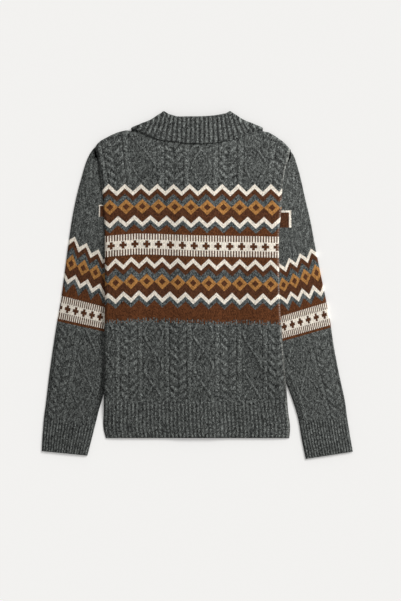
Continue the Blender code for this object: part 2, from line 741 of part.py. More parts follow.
def front_top_row(side):
    """Points along the top edge of a front, from the band round the neck to the shoulder."""
    start = BAND_WIDTH / 2 + SEAM
    points = [(start, BAND_TOP)]
    points += [(x, y - SEAM) for x, y in NECK_NODES[1:]]
    end = abs(front_side(side, SHOULDER_END_Y))
    for x in (*SHOULDER_NODES, (SHOULDER_NODES[-1] + end) / 2, end):
        points.append((x, back_top(side * x) - INSET - 2 * SEAM))
    return points


def make_front(side, name, material):
    wall = Wall()
    top = front_top_row(side)
    start = top[0][0]
    end = top[-1][0]
    under, over = [], []
    for share_up in FRONT_ROWS:
        y = mix(HEM_Y + FRONT_HEM_LIFT, BAND_TOP, share_up)
        tilt = ease((y - FRONT_TILT_Y) / (BAND_TOP - FRONT_TILT_Y))
        row = []
        for top_x, top_y in top:
            level = y + tilt * (top_y - BAND_TOP)
            side_x = abs(front_side(side, min(level, SHOULDER_END_Y)))
            x = side * mix(start, side_x, (top_x - start) / (end - start))
            row.append((x, level, front_level(side, x, level)))
        under.append(wall.chain(row))
        over.append(wall.chain([(x, y, z + WALL) for x, y, z in row]))
    for skin in (under, over):
        for a, b in zip(skin, skin[1:]):
            wall.strip(a, b)
    for a, b in zip(sides_of(under), sides_of(over)):
        wall.strip(a, b)
    return wall.make(name, material)


# ---------------------------------------------------------------- sleeves
FOLD_STEPS = (0.0, 0.6, 1.9, 3.4)     # distance in from a fold
FOLD_ROLL = 3.4
UPPER_SLEEVE_ROWS = 7
UPPER_STRENGTH = 0.6       # the upper cables of a sleeve are softer than the lower ones
PLAIN_SLEEVE_ROWS = 3
LOWER_SLEEVE_ROWS = 16
CUFF_ROWS = (CUFF_START + 0.12, CUFF_START + 1.0, CUFF_END - 0.1, CUFF_END)
CLEAR_OF_BODY = (1.0, 6.0)           # ramp of a sleeve's relief beside the body's edge
TUBE_INSET = WALL + 0.4              # from a fold to the inside of the tube
INSIDE_STEPS = 3
ROLL_POINT = 0.3           # an extra point on the underside's roll, as a share of the roll


def sleeve_section(side, at):
    """A section of a sleeve: its two folds and its bow, at a section number."""
    table = sleeve_table(side)
    numbers = range(len(table))
    values = [smooth_curve(numbers, column)(at) for column in zip(*table)]
    return dict(zip(SLEEVE_COLUMNS, values))


def on_section(side, section, share):
    """x and y at a share of the way from the outer fold to the inner one."""
    bulge = section["bow"] * 4 * share * (1 - share)
    return (mix(section["outer_x"], section["inner_x"], share) - side * bulge,
            mix(section["outer_y"], section["inner_y"], share))


def section_width(section):
    return math.hypot(section["outer_x"] - section["inner_x"],
                      section["outer_y"] - section["inner_y"])


def tube_top(share):
    return 2 * WALL + TUBE_AIR + SLEEVE_PUFF * math.sin(math.pi * min(max(share, 0.0), 1.0))


def outer_ring(side, section, lines, plain_under):
    """Chains of the upper and the under skin of a sleeve across one section."""
    width = section_width(section)
    upper = []
    for share, relief in lines:
        x, y = on_section(side, section, share)
        from_fold = min(share, 1 - share) * width
        middle = tube_top(share) / 2
        if y > HEM_Y:
            clear_of_body = -inward(side, x, side_edge(side, y))
            relief *= ramp(clear_of_body, CLEAR_OF_BODY)
        z = mix(middle, tube_top(share) + relief, dome(from_fold / FOLD_ROLL))
        upper.append((x, y, z))
    under = []
    for share in plain_under:
        x, y = on_section(side, section, share)
        from_fold = min(share, 1 - share) * width
        z = mix(tube_top(share) / 2, 0.0, dome(from_fold / FOLD_ROLL))
        under.append((x, y, z))
    return upper, under


def inner_ring(side, section):
    """The flat inside of the tube, as a closed chain."""
    width = section_width(section)
    inset = TUBE_INSET / width
    shares = evenly(inset, 1 - inset, INSIDE_STEPS)
    over, under = [], []
    for share in shares:
        x, y = on_section(side, section, share)
        over.append((x, y, tube_top(share) - WALL))
        under.append((x, y, WALL))
    return over + under[::-1]


def sleeve_lines(section, row, strength, ribs):
    """Shares and relief of the upper skin's lines across one section."""
    width = section_width(section)
    edge = [step / width for step in FOLD_STEPS]
    if ribs:
        inside = [(mix(edge[2], 1 - edge[2], i / (2 * CUFF_RIBS)), RIB_HEIGHT * (i % 2))
                  for i in range(2 * CUFF_RIBS + 1)]
        return ([(0.0, 0.0), (edge[1], 0.0)] + inside
                + [(1 - edge[1], 0.0), (1.0, 0.0)])
    borders = [(kind, share * width) for kind, share in SLEEVE_CABLES]
    lines = [(x / width, CABLE_HEIGHT * h * strength)
             for x, h, _ in relief_row(borders, row)]
    return ([(e, 0.0) for e in edge[:-1]] + lines + [(1 - e, 0.0) for e in edge[:-1][::-1]])


def sleeve_rows():
    """Section number, row number, strength of relief, and whether it is ribbed."""
    rows = []
    upper = evenly(0.0, BAND_START, UPPER_SLEEVE_ROWS)
    for i, at in enumerate(upper):
        strength = UPPER_STRENGTH if 1 < i < UPPER_SLEEVE_ROWS else 0.0
        rows.append((at, i, strength, False))
    for at in evenly(BAND_START, BAND_END, PLAIN_SLEEVE_ROWS)[1:-1]:
        rows.append((at, 0, 0.0, False))
    lower = evenly(BAND_END, CUFF_START, LOWER_SLEEVE_ROWS)
    for i, at in enumerate(lower):
        rows.append((at, i, 1.0 if 0 < i < LOWER_SLEEVE_ROWS else 0.0, False))
    rows.extend((at, 0, 1.0, True) for at in CUFF_ROWS)
    return rows


def make_sleeve(side, name, material):
    wall = Wall()
    upper, under, inner = [], [], []
    for at, row, strength, ribs in sleeve_rows():
        section = sleeve_section(side, at)
        width = section_width(section)
        lines = sleeve_lines(section, row, strength, ribs)
        if not ribs:
            lines = [(min(max(share, 0.0), 1.0), h) for share, h in lines]
        roll = FOLD_ROLL / width
        near_fold = roll * ROLL_POINT
        under_shares = (near_fold, roll, 0.5, 1 - roll, 1 - near_fold)
        top, bottom = outer_ring(side, section, lines, under_shares)
        upper.append(wall.chain(top))
        middle = wall.chain(bottom)
        under.append([upper[-1][0], *middle, upper[-1][-1]])
        ring = wall.chain(inner_ring(side, section))
        inner.append([*ring, ring[0]])
    for a, b in zip(upper, upper[1:]):
        if len(a) == len(b):
            wall.strip(a, b)
        else:
            wall.zip(a, b)
    for skin in (under, inner):
        for a, b in zip(skin, skin[1:]):
            wall.strip(a, b)
    for end in (0, -1):
        half = len(inner[end]) // 2
        over_inside = inner[end][:half]
        under_inside = inner[end][half:-1][::-1]
        wall.zip(upper[end], over_inside)
        wall.zip(under[end], under_inside)
        wall.faces.append((upper[end][0], over_inside[0], under_inside[0]))
        wall.faces.append((upper[end][-1], over_inside[-1], under_inside[-1]))
    return wall.make(name, material)


# ---------------------------------------------------------------- collar
FOLD_RADIUS = (FALL_OFFSET - STAND_OFFSET) / 2
FALL_STEPS = 8             # steps from the fold to the free edge
END_ROWS = (-1.0, -0.8, -0.6, -0.42, -0.26, -0.12, -0.03)
NO_LENGTH = 1e-9
FRONT_BEND_SHIFT = 2       # how fast the bend leaves the fall's edge on a front, per share
BACK_BEND_SHIFT = 5        # and how fast it leaves the fold on the back
BACK_CUTS = columns_of(COLLAR_BACK, COLLAR_BACK_COLUMNS)
END_CUTS = columns_of(COLLAR_END, COLLAR_END_COLUMNS)


def neck_seam_on_front(angle):
    """Point just inside the front neck's edge, which runs straight between its nodes."""
    xs, ys = zip(*NECK_NODES)
    x = float(np.interp(angle, NECK_ANGLES, xs))
    y = float(np.interp(angle, NECK_ANGLES, ys))
    turn = math.radians(angle)
    return x - COLLAR_SEAM * math.sin(turn), y + COLLAR_SEAM * math.cos(turn)


def collar_cut(share):
    """Seam, fold, turning point and edge of a cut through the collar, and its out direction."""
    mirrored = share > 0.5
    near = 1.0 - share if mirrored else share
    if near >= SHOULDER_SHARE:
        cut = {name: column(share) for name, column in BACK_CUTS.items()}
        seam = (cut["seam_x"], back_top(cut["seam_x"]) + 2 * SEAM)
        flip = 1.0
    else:
        cut = {name: column(near) for name, column in END_CUTS.items()}
        x, y = neck_seam_on_front(cut["seam_angle"])
        seam = (-x, y)
        flip = -1.0 if mirrored else 1.0
    points = [seam] + [(cut[f"{line}_x"], cut[f"{line}_y"]) for line in ("fold", "turn", "edge")]
    points = [np.array((flip * x, y)) for x, y in points]
    out = np.array((END_TURN[0] if mirrored else -END_TURN[0], END_TURN[1]))
    return points, out


def fall_stations(length, turn_at):
    """Distances from the fold to points on the fall, three of them on its bend."""
    step = length / FALL_STEPS
    stations = [i * step for i in range(FALL_STEPS + 1)]
    if turn_at > length + TURN_SPAN or turn_at < -TURN_SPAN:
        return stations
    middle = min(max(round(turn_at / step), 0), FALL_STEPS)
    if 0 < middle < FALL_STEPS:
        stations[middle] = turn_at
    if middle > 1:
        stations[middle - 1] = turn_at - TURN_SPAN
    if middle < FALL_STEPS - 1:
        stations[middle + 1] = turn_at + TURN_SPAN
    return stations


def collar_row(share):
    """Places, radii and phases of the strip at one cut.

    The phase is 0 on the front, half a turn on the back, and in between on the bend that
    passes the shoulder.  The radius is the distance from the level between the layers.
    """
    (seam, fold, turn, edge), out = collar_cut(share)
    near = min(share, 1.0 - share)
    on_front = np.linalg.norm(turn - fold)
    length = on_front + np.linalg.norm(edge - turn)
    turn_at = on_front + length * FRONT_BEND_SHIFT * max(-near, 0.0)
    turn_at -= length * BACK_BEND_SHIFT * max(near - SHOULDER_SHARE, 0.0)
    up = (fold - seam) / np.linalg.norm(fold - seam)
    stand_phase = bend_phase((near - STAND_TURN_SHARE) * COLLAR_RIBS * 2 * TURN_SPAN)
    points = [(seam, STAND_OFFSET, stand_phase, -1.0), (fold, STAND_OFFSET, stand_phase, -1.0)]
    fold_phase = (stand_phase + bend_phase(-turn_at)) / 2
    points.append((fold, STAND_OFFSET + FOLD_RADIUS, fold_phase, 0.0))
    for along in fall_stations(length, turn_at):
        if along < on_front:
            place = mix(fold, turn, along / on_front)
        else:
            place = mix(turn, edge, (along - on_front) / max(length - on_front, NO_LENGTH))
        points.append((place, FALL_OFFSET, bend_phase(along - turn_at), 1.0))
    return points, up, out


def bend_phase(past_turn):
    """Angle round the bend, from 0 to half a turn, by the distance past its middle."""
    return math.pi / 2 * (1.0 + min(max(past_turn / TURN_SPAN, -1.0), 1.0))


def collar_skin(row, offset, relief):
    """One skin of the wall along one cut: offset is half the wall, with its sign."""
    points, up, out = row
    skin = []
    for i, (place, radius, phase, way) in enumerate(points):
        on_back = (1.0 - math.cos(phase)) / 2
        last = i == len(points) - 1
        raised = 0.0 if way < 0.5 or last else relief * on_back ** 2
        radius += way * (offset + raised)
        lift = 0.0 if way else FOLD_RADIUS + offset
        spot = place + up * lift + out * radius * math.sin(phase)
        skin.append((spot[0], spot[1], COLLAR_MIDDLE_Z - radius * math.cos(phase)))
    return skin


def make_collar(material):
    wall = Wall()
    ribs = [i / (2 * COLLAR_RIBS) for i in range(2 * COLLAR_RIBS + 1)]
    shares = [*END_ROWS, *ribs, *(1.0 - share for share in END_ROWS[::-1])]
    show, hidden = [], []
    for i, share in enumerate(shares):
        row = collar_row(share)
        rib_line = i - len(END_ROWS)
        ridge = rib_line % 2 == 1 and 0 <= rib_line < len(ribs)
        show.append(wall.chain(collar_skin(row, COLLAR_WALL / 2,
                                           COLLAR_RIB_HEIGHT if ridge else 0.0)))
        if not ridge or min(share, 1.0 - share) < STAND_TURN_SHARE:
            hidden.append(wall.chain(collar_skin(row, -COLLAR_WALL / 2, 0.0)))
    for skin in (show, hidden):
        for a, b in zip(skin, skin[1:]):
            wall.split_strip(a, b)
    for a, b in zip(sides_of(show), sides_of(hidden)):
        wall.zip(a, b)
    return wall.make("collar", material)


# ---------------------------------------------------------------- bands and buttons
BAND_ROWS = 6


def make_band(name, level, material):
    wall = Wall()
    half = BAND_WIDTH / 2
    heights = evenly(HEM_Y, BAND_TOP - SEAM, BAND_ROWS)
    under, over = [], []
    for y in heights:
        under.append(wall.chain([(-half, y, level), (half, y, level)]))
        over.append(wall.chain([(-half, y, level + BAND_WALL), (half, y, level + BAND_WALL)]))
    for skin in (under, over):
        for a, b in zip(skin, skin[1:]):
            wall.strip(a, b)
    for a, b in zip(sides_of(under), sides_of(over)):
        wall.strip(a, b)
    return wall.make(name, material)


def button_mesh(material):
    """A flat button with a bevelled rim and four sewing holes."""
    shape = bmesh.new()
    rings = ((BUTTON_RADIUS - BUTTON_BEVEL, 0.0), (BUTTON_RADIUS, BUTTON_BEVEL),
             (BUTTON_RADIUS, BUTTON_THICKNESS - BUTTON_BEVEL),
             (BUTTON_RADIUS - BUTTON_BEVEL, BUTTON_THICKNESS))
    loops = []
    for radius, z in rings:
        loop = []
        for k in range(BUTTON_SIDES):
            angle = 2 * math.pi * k / BUTTON_SIDES
            loop.append(shape.verts.new((radius * math.cos(angle) * MM,
                                         radius * math.sin(angle) * MM, z * MM)))
        loops.append(loop)
    for a, b in zip(loops, loops[1:]):
        for k in range(BUTTON_SIDES):
            n = (k + 1) % BUTTON_SIDES
            shape.faces.new((a[k], a[n], b[n], b[k]))
    holes = []
    for quarter in range(4):
        turn = math.pi / 4 + quarter * math.pi / 2
        centre = (BUTTON_HOLE_OFFSET * math.cos(turn), BUTTON_HOLE_OFFSET * math.sin(turn))
        ends = []
        for z in (0.0, BUTTON_THICKNESS):
            ring = []
            for k in range(BUTTON_HOLE_SIDES):
                angle = 2 * math.pi * k / BUTTON_HOLE_SIDES
                ring.append(shape.verts.new((
                    (centre[0] + BUTTON_HOLE_RADIUS * math.cos(angle)) * MM,
                    (centre[1] + BUTTON_HOLE_RADIUS * math.sin(angle)) * MM, z * MM)))
            ends.append(ring)
        for k in range(BUTTON_HOLE_SIDES):
            n = (k + 1) % BUTTON_HOLE_SIDES
            shape.faces.new((ends[0][k], ends[1][k], ends[1][n], ends[0][n]))
        holes.append(ends)
    shape.edges.ensure_lookup_table()
    for face_end, loop in ((0, loops[0]), (1, loops[-1])):
        rims = [loop] + [ends[face_end] for ends in holes]
        edges = [shape.edges.get((ring[k], ring[(k + 1) % len(ring)]))
                 for ring in rims for k in range(len(ring))]
        bmesh.ops.triangle_fill(shape, use_beauty=True, edges=edges)
    bmesh.ops.recalc_face_normals(shape, faces=shape.faces)
    mesh = bpy.data.meshes.new("button")
    shape.to_mesh(mesh)
    shape.free()
    mesh.shade_smooth()
    mesh.set_sharp_from_angle(angle=math.radians(30))
    mesh.materials.append(material)
    return mesh


def make_buttons(material):
    mesh = button_mesh(material)
    heights = evenly(BUTTON_FIRST_Y, BUTTON_LAST_Y, BUTTON_COUNT - 1)
    for number, y in enumerate(heights, start=1):
        button = bpy.data.objects.new(f"button_{number}", mesh)
        button.location = (0.0, y * MM, 0.0)
        bpy.context.scene.collection.objects.link(button)


# ---------------------------------------------------------------- the cardigan
def main():
    for thing in list(bpy.data.objects):
        bpy.data.objects.remove(thing, do_unlink=True)
    make_back(yarn("back_knit", CHARCOAL))
    make_front(-1, "front_left", yarn("front_left_knit", CHARCOAL))
    make_front(1, "front_right", yarn("front_right_knit", CHARCOAL))
    make_sleeve(-1, "sleeve_left", yarn("sleeve_left_knit", CHARCOAL))
    make_sleeve(1, "sleeve_right", yarn("sleeve_right_knit", CHARCOAL))
    make_collar(yarn("collar_rib", CHARCOAL))
    make_band("button_band_left", BUTTON_BAND_Z, yarn("button_band_left_rib", CHARCOAL))
    make_band("button_band_right", BUTTONHOLE_BAND_Z, yarn("button_band_right_rib", CHARCOAL))
    make_buttons(yarn("button_horn", HORN, 0.35))


main()
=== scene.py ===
"""Knitted polo-collar cardigan laid flat on its fronts: its knit, materials, light and camera.

Every piece is a thin closed shell on the form of its CAD solid, with its cables and ribs
finer.  Lengths are millimetres in the frame of the CAD: x across the garment, y towards the
collar and z up from the surface that it lies on.  The wearer's left is at negative x.
"""

import math

import bmesh
import bpy
import numpy as np
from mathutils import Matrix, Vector


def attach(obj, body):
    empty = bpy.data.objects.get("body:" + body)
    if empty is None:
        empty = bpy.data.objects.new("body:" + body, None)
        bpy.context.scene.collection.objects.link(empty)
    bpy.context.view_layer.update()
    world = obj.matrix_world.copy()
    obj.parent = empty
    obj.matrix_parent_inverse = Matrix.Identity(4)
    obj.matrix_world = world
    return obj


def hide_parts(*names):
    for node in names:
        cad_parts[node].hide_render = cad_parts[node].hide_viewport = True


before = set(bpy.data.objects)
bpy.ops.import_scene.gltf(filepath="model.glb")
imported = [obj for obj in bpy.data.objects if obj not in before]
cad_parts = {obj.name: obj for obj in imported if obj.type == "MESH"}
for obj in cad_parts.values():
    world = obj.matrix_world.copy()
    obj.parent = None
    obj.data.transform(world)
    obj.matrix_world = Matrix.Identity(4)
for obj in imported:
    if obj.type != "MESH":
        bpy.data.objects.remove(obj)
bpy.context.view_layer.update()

MM = 0.001

# -------------------- dimensions of the knit
WALL = 2.6                 # knit of the back, fronts and sleeves, without relief
COLLAR_WALL = 2.4
SEAM = 0.3                 # clearance between pieces that are sewn together
FACET_ROOM = 0.35          # more clearance where two curves of the solids run side by side
TUBE_AIR = 0.4             # air between the two layers of a flattened sleeve
SLEEVE_PUFF = 0.6          # how much more air there is along a sleeve's middle
CABLE_HEIGHT = 1.6
RIB_HEIGHT = 1.1
COLLAR_RIB_HEIGHT = 1.0

HEM_Y = -297.4
HEM_RIB_TOP = -223.0
LOWER_CABLES_TOP = -73.0
YOKE_BOTTOM = 200.0
YOKE_TOP = 304.0
HEM_RIBS = 48
COLLAR_RIBS = 24           # ribs of the solid, which set how fast its stand turns over
COLLAR_RIDGES = 27         # ribs that show
CUFF_RIBS = 17

BAND_WIDTH = 35.0
BAND_WALL = 2.4
BAND_TOP = 241.0
BUTTON_THICKNESS = 2.6
BUTTON_HEIGHTS = (-262.0, -165.0, -68.0, 29.0, 126.0, 223.0)
BUTTON_HOLE_OFFSET = 2.4

# -------------------- levels of the layers
TUBE_TOP = 2 * WALL + TUBE_AIR + SLEEVE_PUFF
OVER_TUBE = TUBE_TOP + SEAM                      # a panel that lies on a sleeve
OVER_COLLAR = COLLAR_WALL + SEAM                 # a front that lies on the collar's fall
BUTTONHOLE_BAND_Z = BUTTON_THICKNESS + SEAM
BUTTON_BAND_Z = BUTTONHOLE_BAND_Z + BAND_WALL + SEAM
FRONT_ROOM, BANDS_ROOM = 0.4, 0.1                # more clearance over the fronts and the bands
BACK_Z = OVER_COLLAR + WALL + FRONT_ROOM         # the back where it lies on plain fronts
BACK_OVER_BANDS = BUTTON_BAND_Z + BAND_WALL + 2 * SEAM + BANDS_ROOM
LAYER_ROOM = 0.5                                 # back above the front that it lies on
# Where each slope between two levels starts, from the edge of what is under it, and its length.
BACK_OFF_SLEEVE = (10.0, 50.0)
BACK_OFF_BANDS = (3.0, 46.0)
BACK_PAST_BANDS = (-3.0, 32.0)                   # the same above the bands' upper ends
FRONT_OFF_SLEEVE = (7.0, 30.0)
FRONT_OFF_BAND = (0.0, 34.0)
FRONT_OFF_COLLAR = (-22.0, 18.0)
FRONT_PAST_UNDERARM = (24.0, 42.0)
SLOPE_REACH = 6.0          # the back clears the front's side this far up and down from a point

# -------------------- outlines
BODY_EDGES = {             # visible side edges of the back, from the hem up
    "y":     (-297, -282, -243, -190, -145, -87, -28, 42, 98, 149, 196, 221, 250, 268),
    "left":  (-178, -182, -182, -181.5, -180.5, -180, -179.5, -179.5, -180, -182, -186, -189,
              -193, -199),
    "right": (180, 181.5, 177.5, 173.5, 169.7, 165, 161.5, 160, 160, 164.4, 167, 171.5, 178.5,
              182.5),
}
SHOULDER_LINE = {          # top edge of the back, from the left shoulder to the right one
    "x": (-199, -195, -189, -179, -168, -154, -138, -126, -114, -100, -88,
          88, 100, 114, 126, 140, 150, 158, 166, 172, 177.5, 182.5),
    "y": (268, 275, 281, 287, 293, 299, 302.5, 301, 307, 312, 316,
          316, 312, 307, 301, 298.5, 293, 287.5, 281.5, 276, 270, 264.5),
}
NECK_HALF_WIDTH = 88.0
NECK_POINT_Y = 316.0
BACK_NECK_DROP = 15.0
INSET = 3.0                # thickness of the edge that the back turns down over the fronts
FRONT_NECK_DROP = NECK_POINT_Y - INSET - 2 * SEAM - BAND_TOP

COLLAR_REACH = {           # how far down the fall lies under a front
    "x": (0, 18, 74, 104, 124, 140, 150, 165),
    "y": (240, 230, 150, 176, 215, 250, 320, 430),
}

BACK_CABLES = (            # left border of each column of cables, and how fast it leans up
    # kind,     yoke x, lower x, lean
    ("half",    -188.0, -181.0, -0.10),
    ("cord",    -182.3, -160.0, -0.20),
    ("vee",     -171.6, -150.0, -0.20),
    ("cord",    -136.5, -116.0, -0.12),
    ("lattice", -125.8, -106.0, -0.08),
    ("cord",     -77.0,  -64.4, -0.04),
    ("vee",      -63.4,  -54.0, 0.00),
    ("cord",     -26.3,  -20.1, 0.00),
    ("lattice",  -14.2,   -9.8, 0.00),
    ("cord",      29.3,   34.1, 0.00),
    ("vee",       41.3,   44.3, 0.00),
    ("cord",      77.0,   77.0, 0.02),
    ("lattice",   88.7,   87.4, 0.04),
    ("cord",     135.5,  127.7, 0.08),
    ("vee",      146.3,  137.5, 0.12),
    ("end",      182.3,  169.0, 0.12),
)
SLEEVE_CABLES = (          # the same, as a share of the width
    # kind,     share
    ("vee",     0.05),
    ("cord",    0.34),
    ("lattice", 0.43),
    ("cord",    0.81),
    ("end",     0.90),
)

LEFT_SLEEVE = (            # sections from the armhole down, at the outer and the inner fold
    # outer_x, outer_y, inner_x, inner_y, bow
    (-190.0, 275.0, -167.7, 41.9, 4.0),
    (-203.8, 264.2, -164.8, 37.0, 3.0),
    (-215.5, 241.8, -161.9, 32.0, 2.0),
    (-225.2, 209.6, -158.9, 26.0, 0.0),
    (-234.0, 176.5, -156.0, 18.5, 0.0),
    (-242.8, 133.6, -153.1, 8.8, 0.0),
    (-249.6, 88.7, -151.1, -5.0, 0.0),
    (-257.4, 30.2, -151.1, -28.3, 0.0),
    (-265.2, -28.3, -156.0, -63.4, 0.0),
    (-272.5, -70.0, -162.0, -98.5, 0.0),
    (-279.8, -116.0, -170.6, -141.4, 0.0),
    (-288.0, -174.5, -177.5, -194.0, 0.0),
    (-294.5, -229.1, -191.1, -242.8, 0.0),
    (-298.4, -258.4, -197.9, -270.0, 0.0),
    (-301.3, -293.5, -205.7, -301.3, 0.0),
    (-302.8, -322.7, -213.5, -331.5, 0.0),
)
RIGHT_SLEEVE = (
    (172.6, 271.0, 148.2, 38.0, 4.0),
    (187.2, 255.5, 145.3, 34.0, 3.0),
    (196.0, 231.0, 142.4, 29.3, 2.0),
    (203.0, 205.0, 139.4, 23.4, 0.0),
    (211.0, 168.7, 136.5, 16.6, 0.0),
    (220.7, 127.7, 133.6, 5.0, 0.0),
    (229.1, 82.9, 131.6, -8.8, 0.0),
    (239.9, 28.3, 131.6, -34.0, 0.0),
    (251.6, -28.3, 135.5, -69.2, 0.0),
    (259.7, -71.2, 141.4, -102.4, 0.0),
    (266.5, -118.0, 150.2, -141.4, 0.0),
    (276.5, -170.6, 174.5, -193.0, 0.0),
    (287.6, -221.3, 189.2, -233.0, 0.0),
    (292.5, -256.4, 197.5, -262.0, 0.0),
    (298.4, -293.5, 203.6, -298.0, 0.0),
    (303.8, -323.7, 211.6, -338.0, 0.0),
)
CUFF_START = 13.0          # number of the section where the cuff starts
CUFF_END = 15.0

UNDERARM_Y = 42.0
LEFT_EXIT_Y = -230.0       # where a sleeve's inner fold comes out from under the body
RIGHT_EXIT_Y = -200.0
EXIT_RAMP = 42.0

# Cuts through the collar, by share of its way round: where it is sewn on, where it is folded
# over, where it turns over the shoulder, and its free edge.
COLLAR_BACK_COLUMNS = ("share", "seam_x", "fold_x", "fold_y", "turn_x", "turn_y",
                       "edge_x", "edge_y")
COLLAR_BACK = (
    (0.20, -86.6, -63.5, 334.3, -63.5, 334.3, -79.0, 286.1),
    (0.26, -72.0, -52.0, 331.0, -52.0, 331.0, -62.0, 282.0),
    (0.32, -56.0, -41.0, 327.6, -41.0, 327.6, -43.7, 280.0),
    (0.42, -25.0, -18.0, 327.0, -18.0, 327.0, -19.0, 277.6),
    (0.52, 5.0, 5.1, 327.0, 5.1, 327.0, 5.1, 276.3),
    (0.68, 53.0, 41.0, 330.0, 41.0, 330.0, 44.9, 279.4),
    (0.74, 70.0, 53.0, 332.6, 53.0, 332.6, 62.0, 282.4),
    (0.80, 86.6, 63.0, 334.3, 63.0, 334.3, 78.0, 286.1),
)
COLLAR_END_COLUMNS = ("share", "seam_angle", "fold_x", "fold_y", "turn_x", "turn_y",
                      "edge_x", "edge_y")
COLLAR_END = (
    (-1.00, 0.0, -18.5, 254.0, -74.0, 184.0, -74.0, 184.0),
    (-0.65, 25.0, -38.0, 267.0, -101.0, 222.0, -101.0, 222.0),
    (-0.30, 50.0, -54.0, 286.0, -117.0, 260.0, -117.0, 260.0),
    (-0.06, 67.0, -62.5, 301.0, -127.0, 297.0, -127.0, 297.0),
    (0.00, 71.0, -64.0, 305.0, -126.0, 302.3, -126.0, 302.3),
    (0.04, 76.0, -65.5, 312.0, -111.0, 309.0, -120.0, 303.5),
    (0.08, 80.0, -66.5, 318.0, -97.0, 314.5, -109.2, 299.5),
    (0.12, 84.0, -66.5, 324.0, -86.0, 319.5, -99.5, 295.0),
    (0.16, 87.0, -65.5, 329.5, -75.0, 327.0, -89.5, 290.5),
    (0.20, 90.0, -63.5, 334.3, -63.5, 334.3, -79.0, 286.1),
)
COLLAR_MIDDLE_Z = 5.5      # between the collar's back layers and its front ones
STAND_OFFSET = 1.5         # of the stand's middle from that level
FALL_OFFSET = COLLAR_MIDDLE_Z - COLLAR_WALL / 2   # of the fall's, which lies on the floor
FOLD_RADIUS = (FALL_OFFSET - STAND_OFFSET) / 2
SHOULDER_SHARE = 0.2       # where the fold itself passes from the back to a front
STAND_TURN_SHARE = 0.21    # where the stand does
TURN_SPAN = 3.0            # length of each half of the bend that passes a shoulder
END_TURN = (0.41, 0.91)    # the way it bulges there
COLLAR_SEAM = 1.0          # clearance of its seam from the front neck

# -------------------- relief of the knit
RIDGE_POWER = 0.8          # under 1 makes ridges broader than the furrows between them
CORD_TWIST = 7.0           # length of one twist of a cord
CORD_SLANT = 0.8           # how far its strands slant from side to side, in twists
CORD_DIP = 0.55            # relief between two of its strands
VEE_PERIOD = 16.0
VEE_HANG = 0.95            # how far a chevron hangs in its middle, in periods
VEE_FURROW = 0.8           # depth of the furrow between its halves
VEE_FURROW_WIDTH = 0.13    # and its width, as a share of half the column
VEE_BORDER = 0.16
LATTICE_PERIOD = 67.0
YOKE_CROSSING_Y = 265.0    # where the strands of a lattice cross
LOWER_CROSSING_Y = -127.0
STRAND_WIDTH = 2.5
ROUNDNESS = 0.6            # of a diamond's sides: 0 is straight
LOW_STRAND = 0.75          # relief of the strand that passes under the other one
CROSSING_DIP = 0.7         # how much of it is lost at the crossing
CROSSING_LENGTH = 0.05     # and along what share of the period
FILLING = 0.34             # relief of the moss knit in a diamond
FILLING_START = 1.6        # how many strand widths it keeps off a strand
FURROW_DEPTH = 0.45
FURROW_WIDTH = 0.8
CREASE_FADE = 1.2          # how soft the ends of a crease are
BAND_FADE = 4.0            # length over which cables start beside the patterned band
BODY_BAND_GAP = 2.0        # and how far off its lower edge
SLEEVE_BAND_GAP = 1.0
HEM_FADE = 5.0             # length over which the hem's ribs start
RIB_EDGE = 1.2             # from the side edge to the first furrow of the hem
CUFF_RIB_EDGE = 1.9
CUFF_FADE = 0.12           # in sections of the sleeve
# How high the knit lies, from 0 in a furrow to 1 on a ridge, as the material reads it
# to paint shade into the furrows and highlight on the ridges.
PLAIN_SHADE_TONE = 0.66
HIDDEN_SHADE_TONE = 0.6
CABLE_SHADE_TONE_LOW = 0.30
RIB_SHADE_TONE_LOW = 0.14

# Soft creases of the back and the sleeves.  A ridge has a negative depth.
CREASES = (
    # x0, y0, x1, y1, width, depth
    (-150.0, 60.0, -176.0, 10.0, 9.0, 0.5),
    (110.0, 40.0, 156.0, -20.0, 11.0, 0.5),
    (-60.0, -200.0, -20.0, -120.0, 12.0, 0.3),
    (60.0, -180.0, 85.0, -90.0, 10.0, -0.3),
    (-120.0, 180.0, -95.0, 100.0, 12.0, 0.3),
    (30.0, 230.0, 60.0, 150.0, 14.0, -0.3),
)
SLEEVE_CREASES = (
    (-236.0, 157.0, -190.0, 137.0, 3.0, 0.9),
    (-246.0, 60.0, -196.0, 96.0, 7.0, 0.5),
    (-262.0, -120.0, -215.0, -150.0, 8.0, 0.4),
    (-290.0, -235.0, -240.0, -220.0, 6.0, 0.4),
    (178.0, 104.0, 206.0, 84.0, 5.0, 1.0),
    (182.0, 76.0, 219.0, 66.0, 5.0, 0.8),
    (196.0, 128.0, 214.0, 112.0, 4.0, 0.6),
    (214.0, -95.0, 258.0, -125.0, 8.0, 0.4),
    (230.0, -225.0, 284.0, -240.0, 7.0, 0.4),
)

# -------------------- the patterned band
STITCHES = 12              # stitches in one zigzag
STITCH_WIDTH = 2.63
ROW = 2.4                  # height of a row of stitches
UPPER_REPEAT = {"start": -169.7, "width": 31.6}
LOWER_REPEAT = {"start": -158.3, "width": 30.2}
PLAIN_STITCH = 2.6         # width of a stitch where no pattern is
SWITCH_Y = 54.0            # under this height the second set of repeats counts
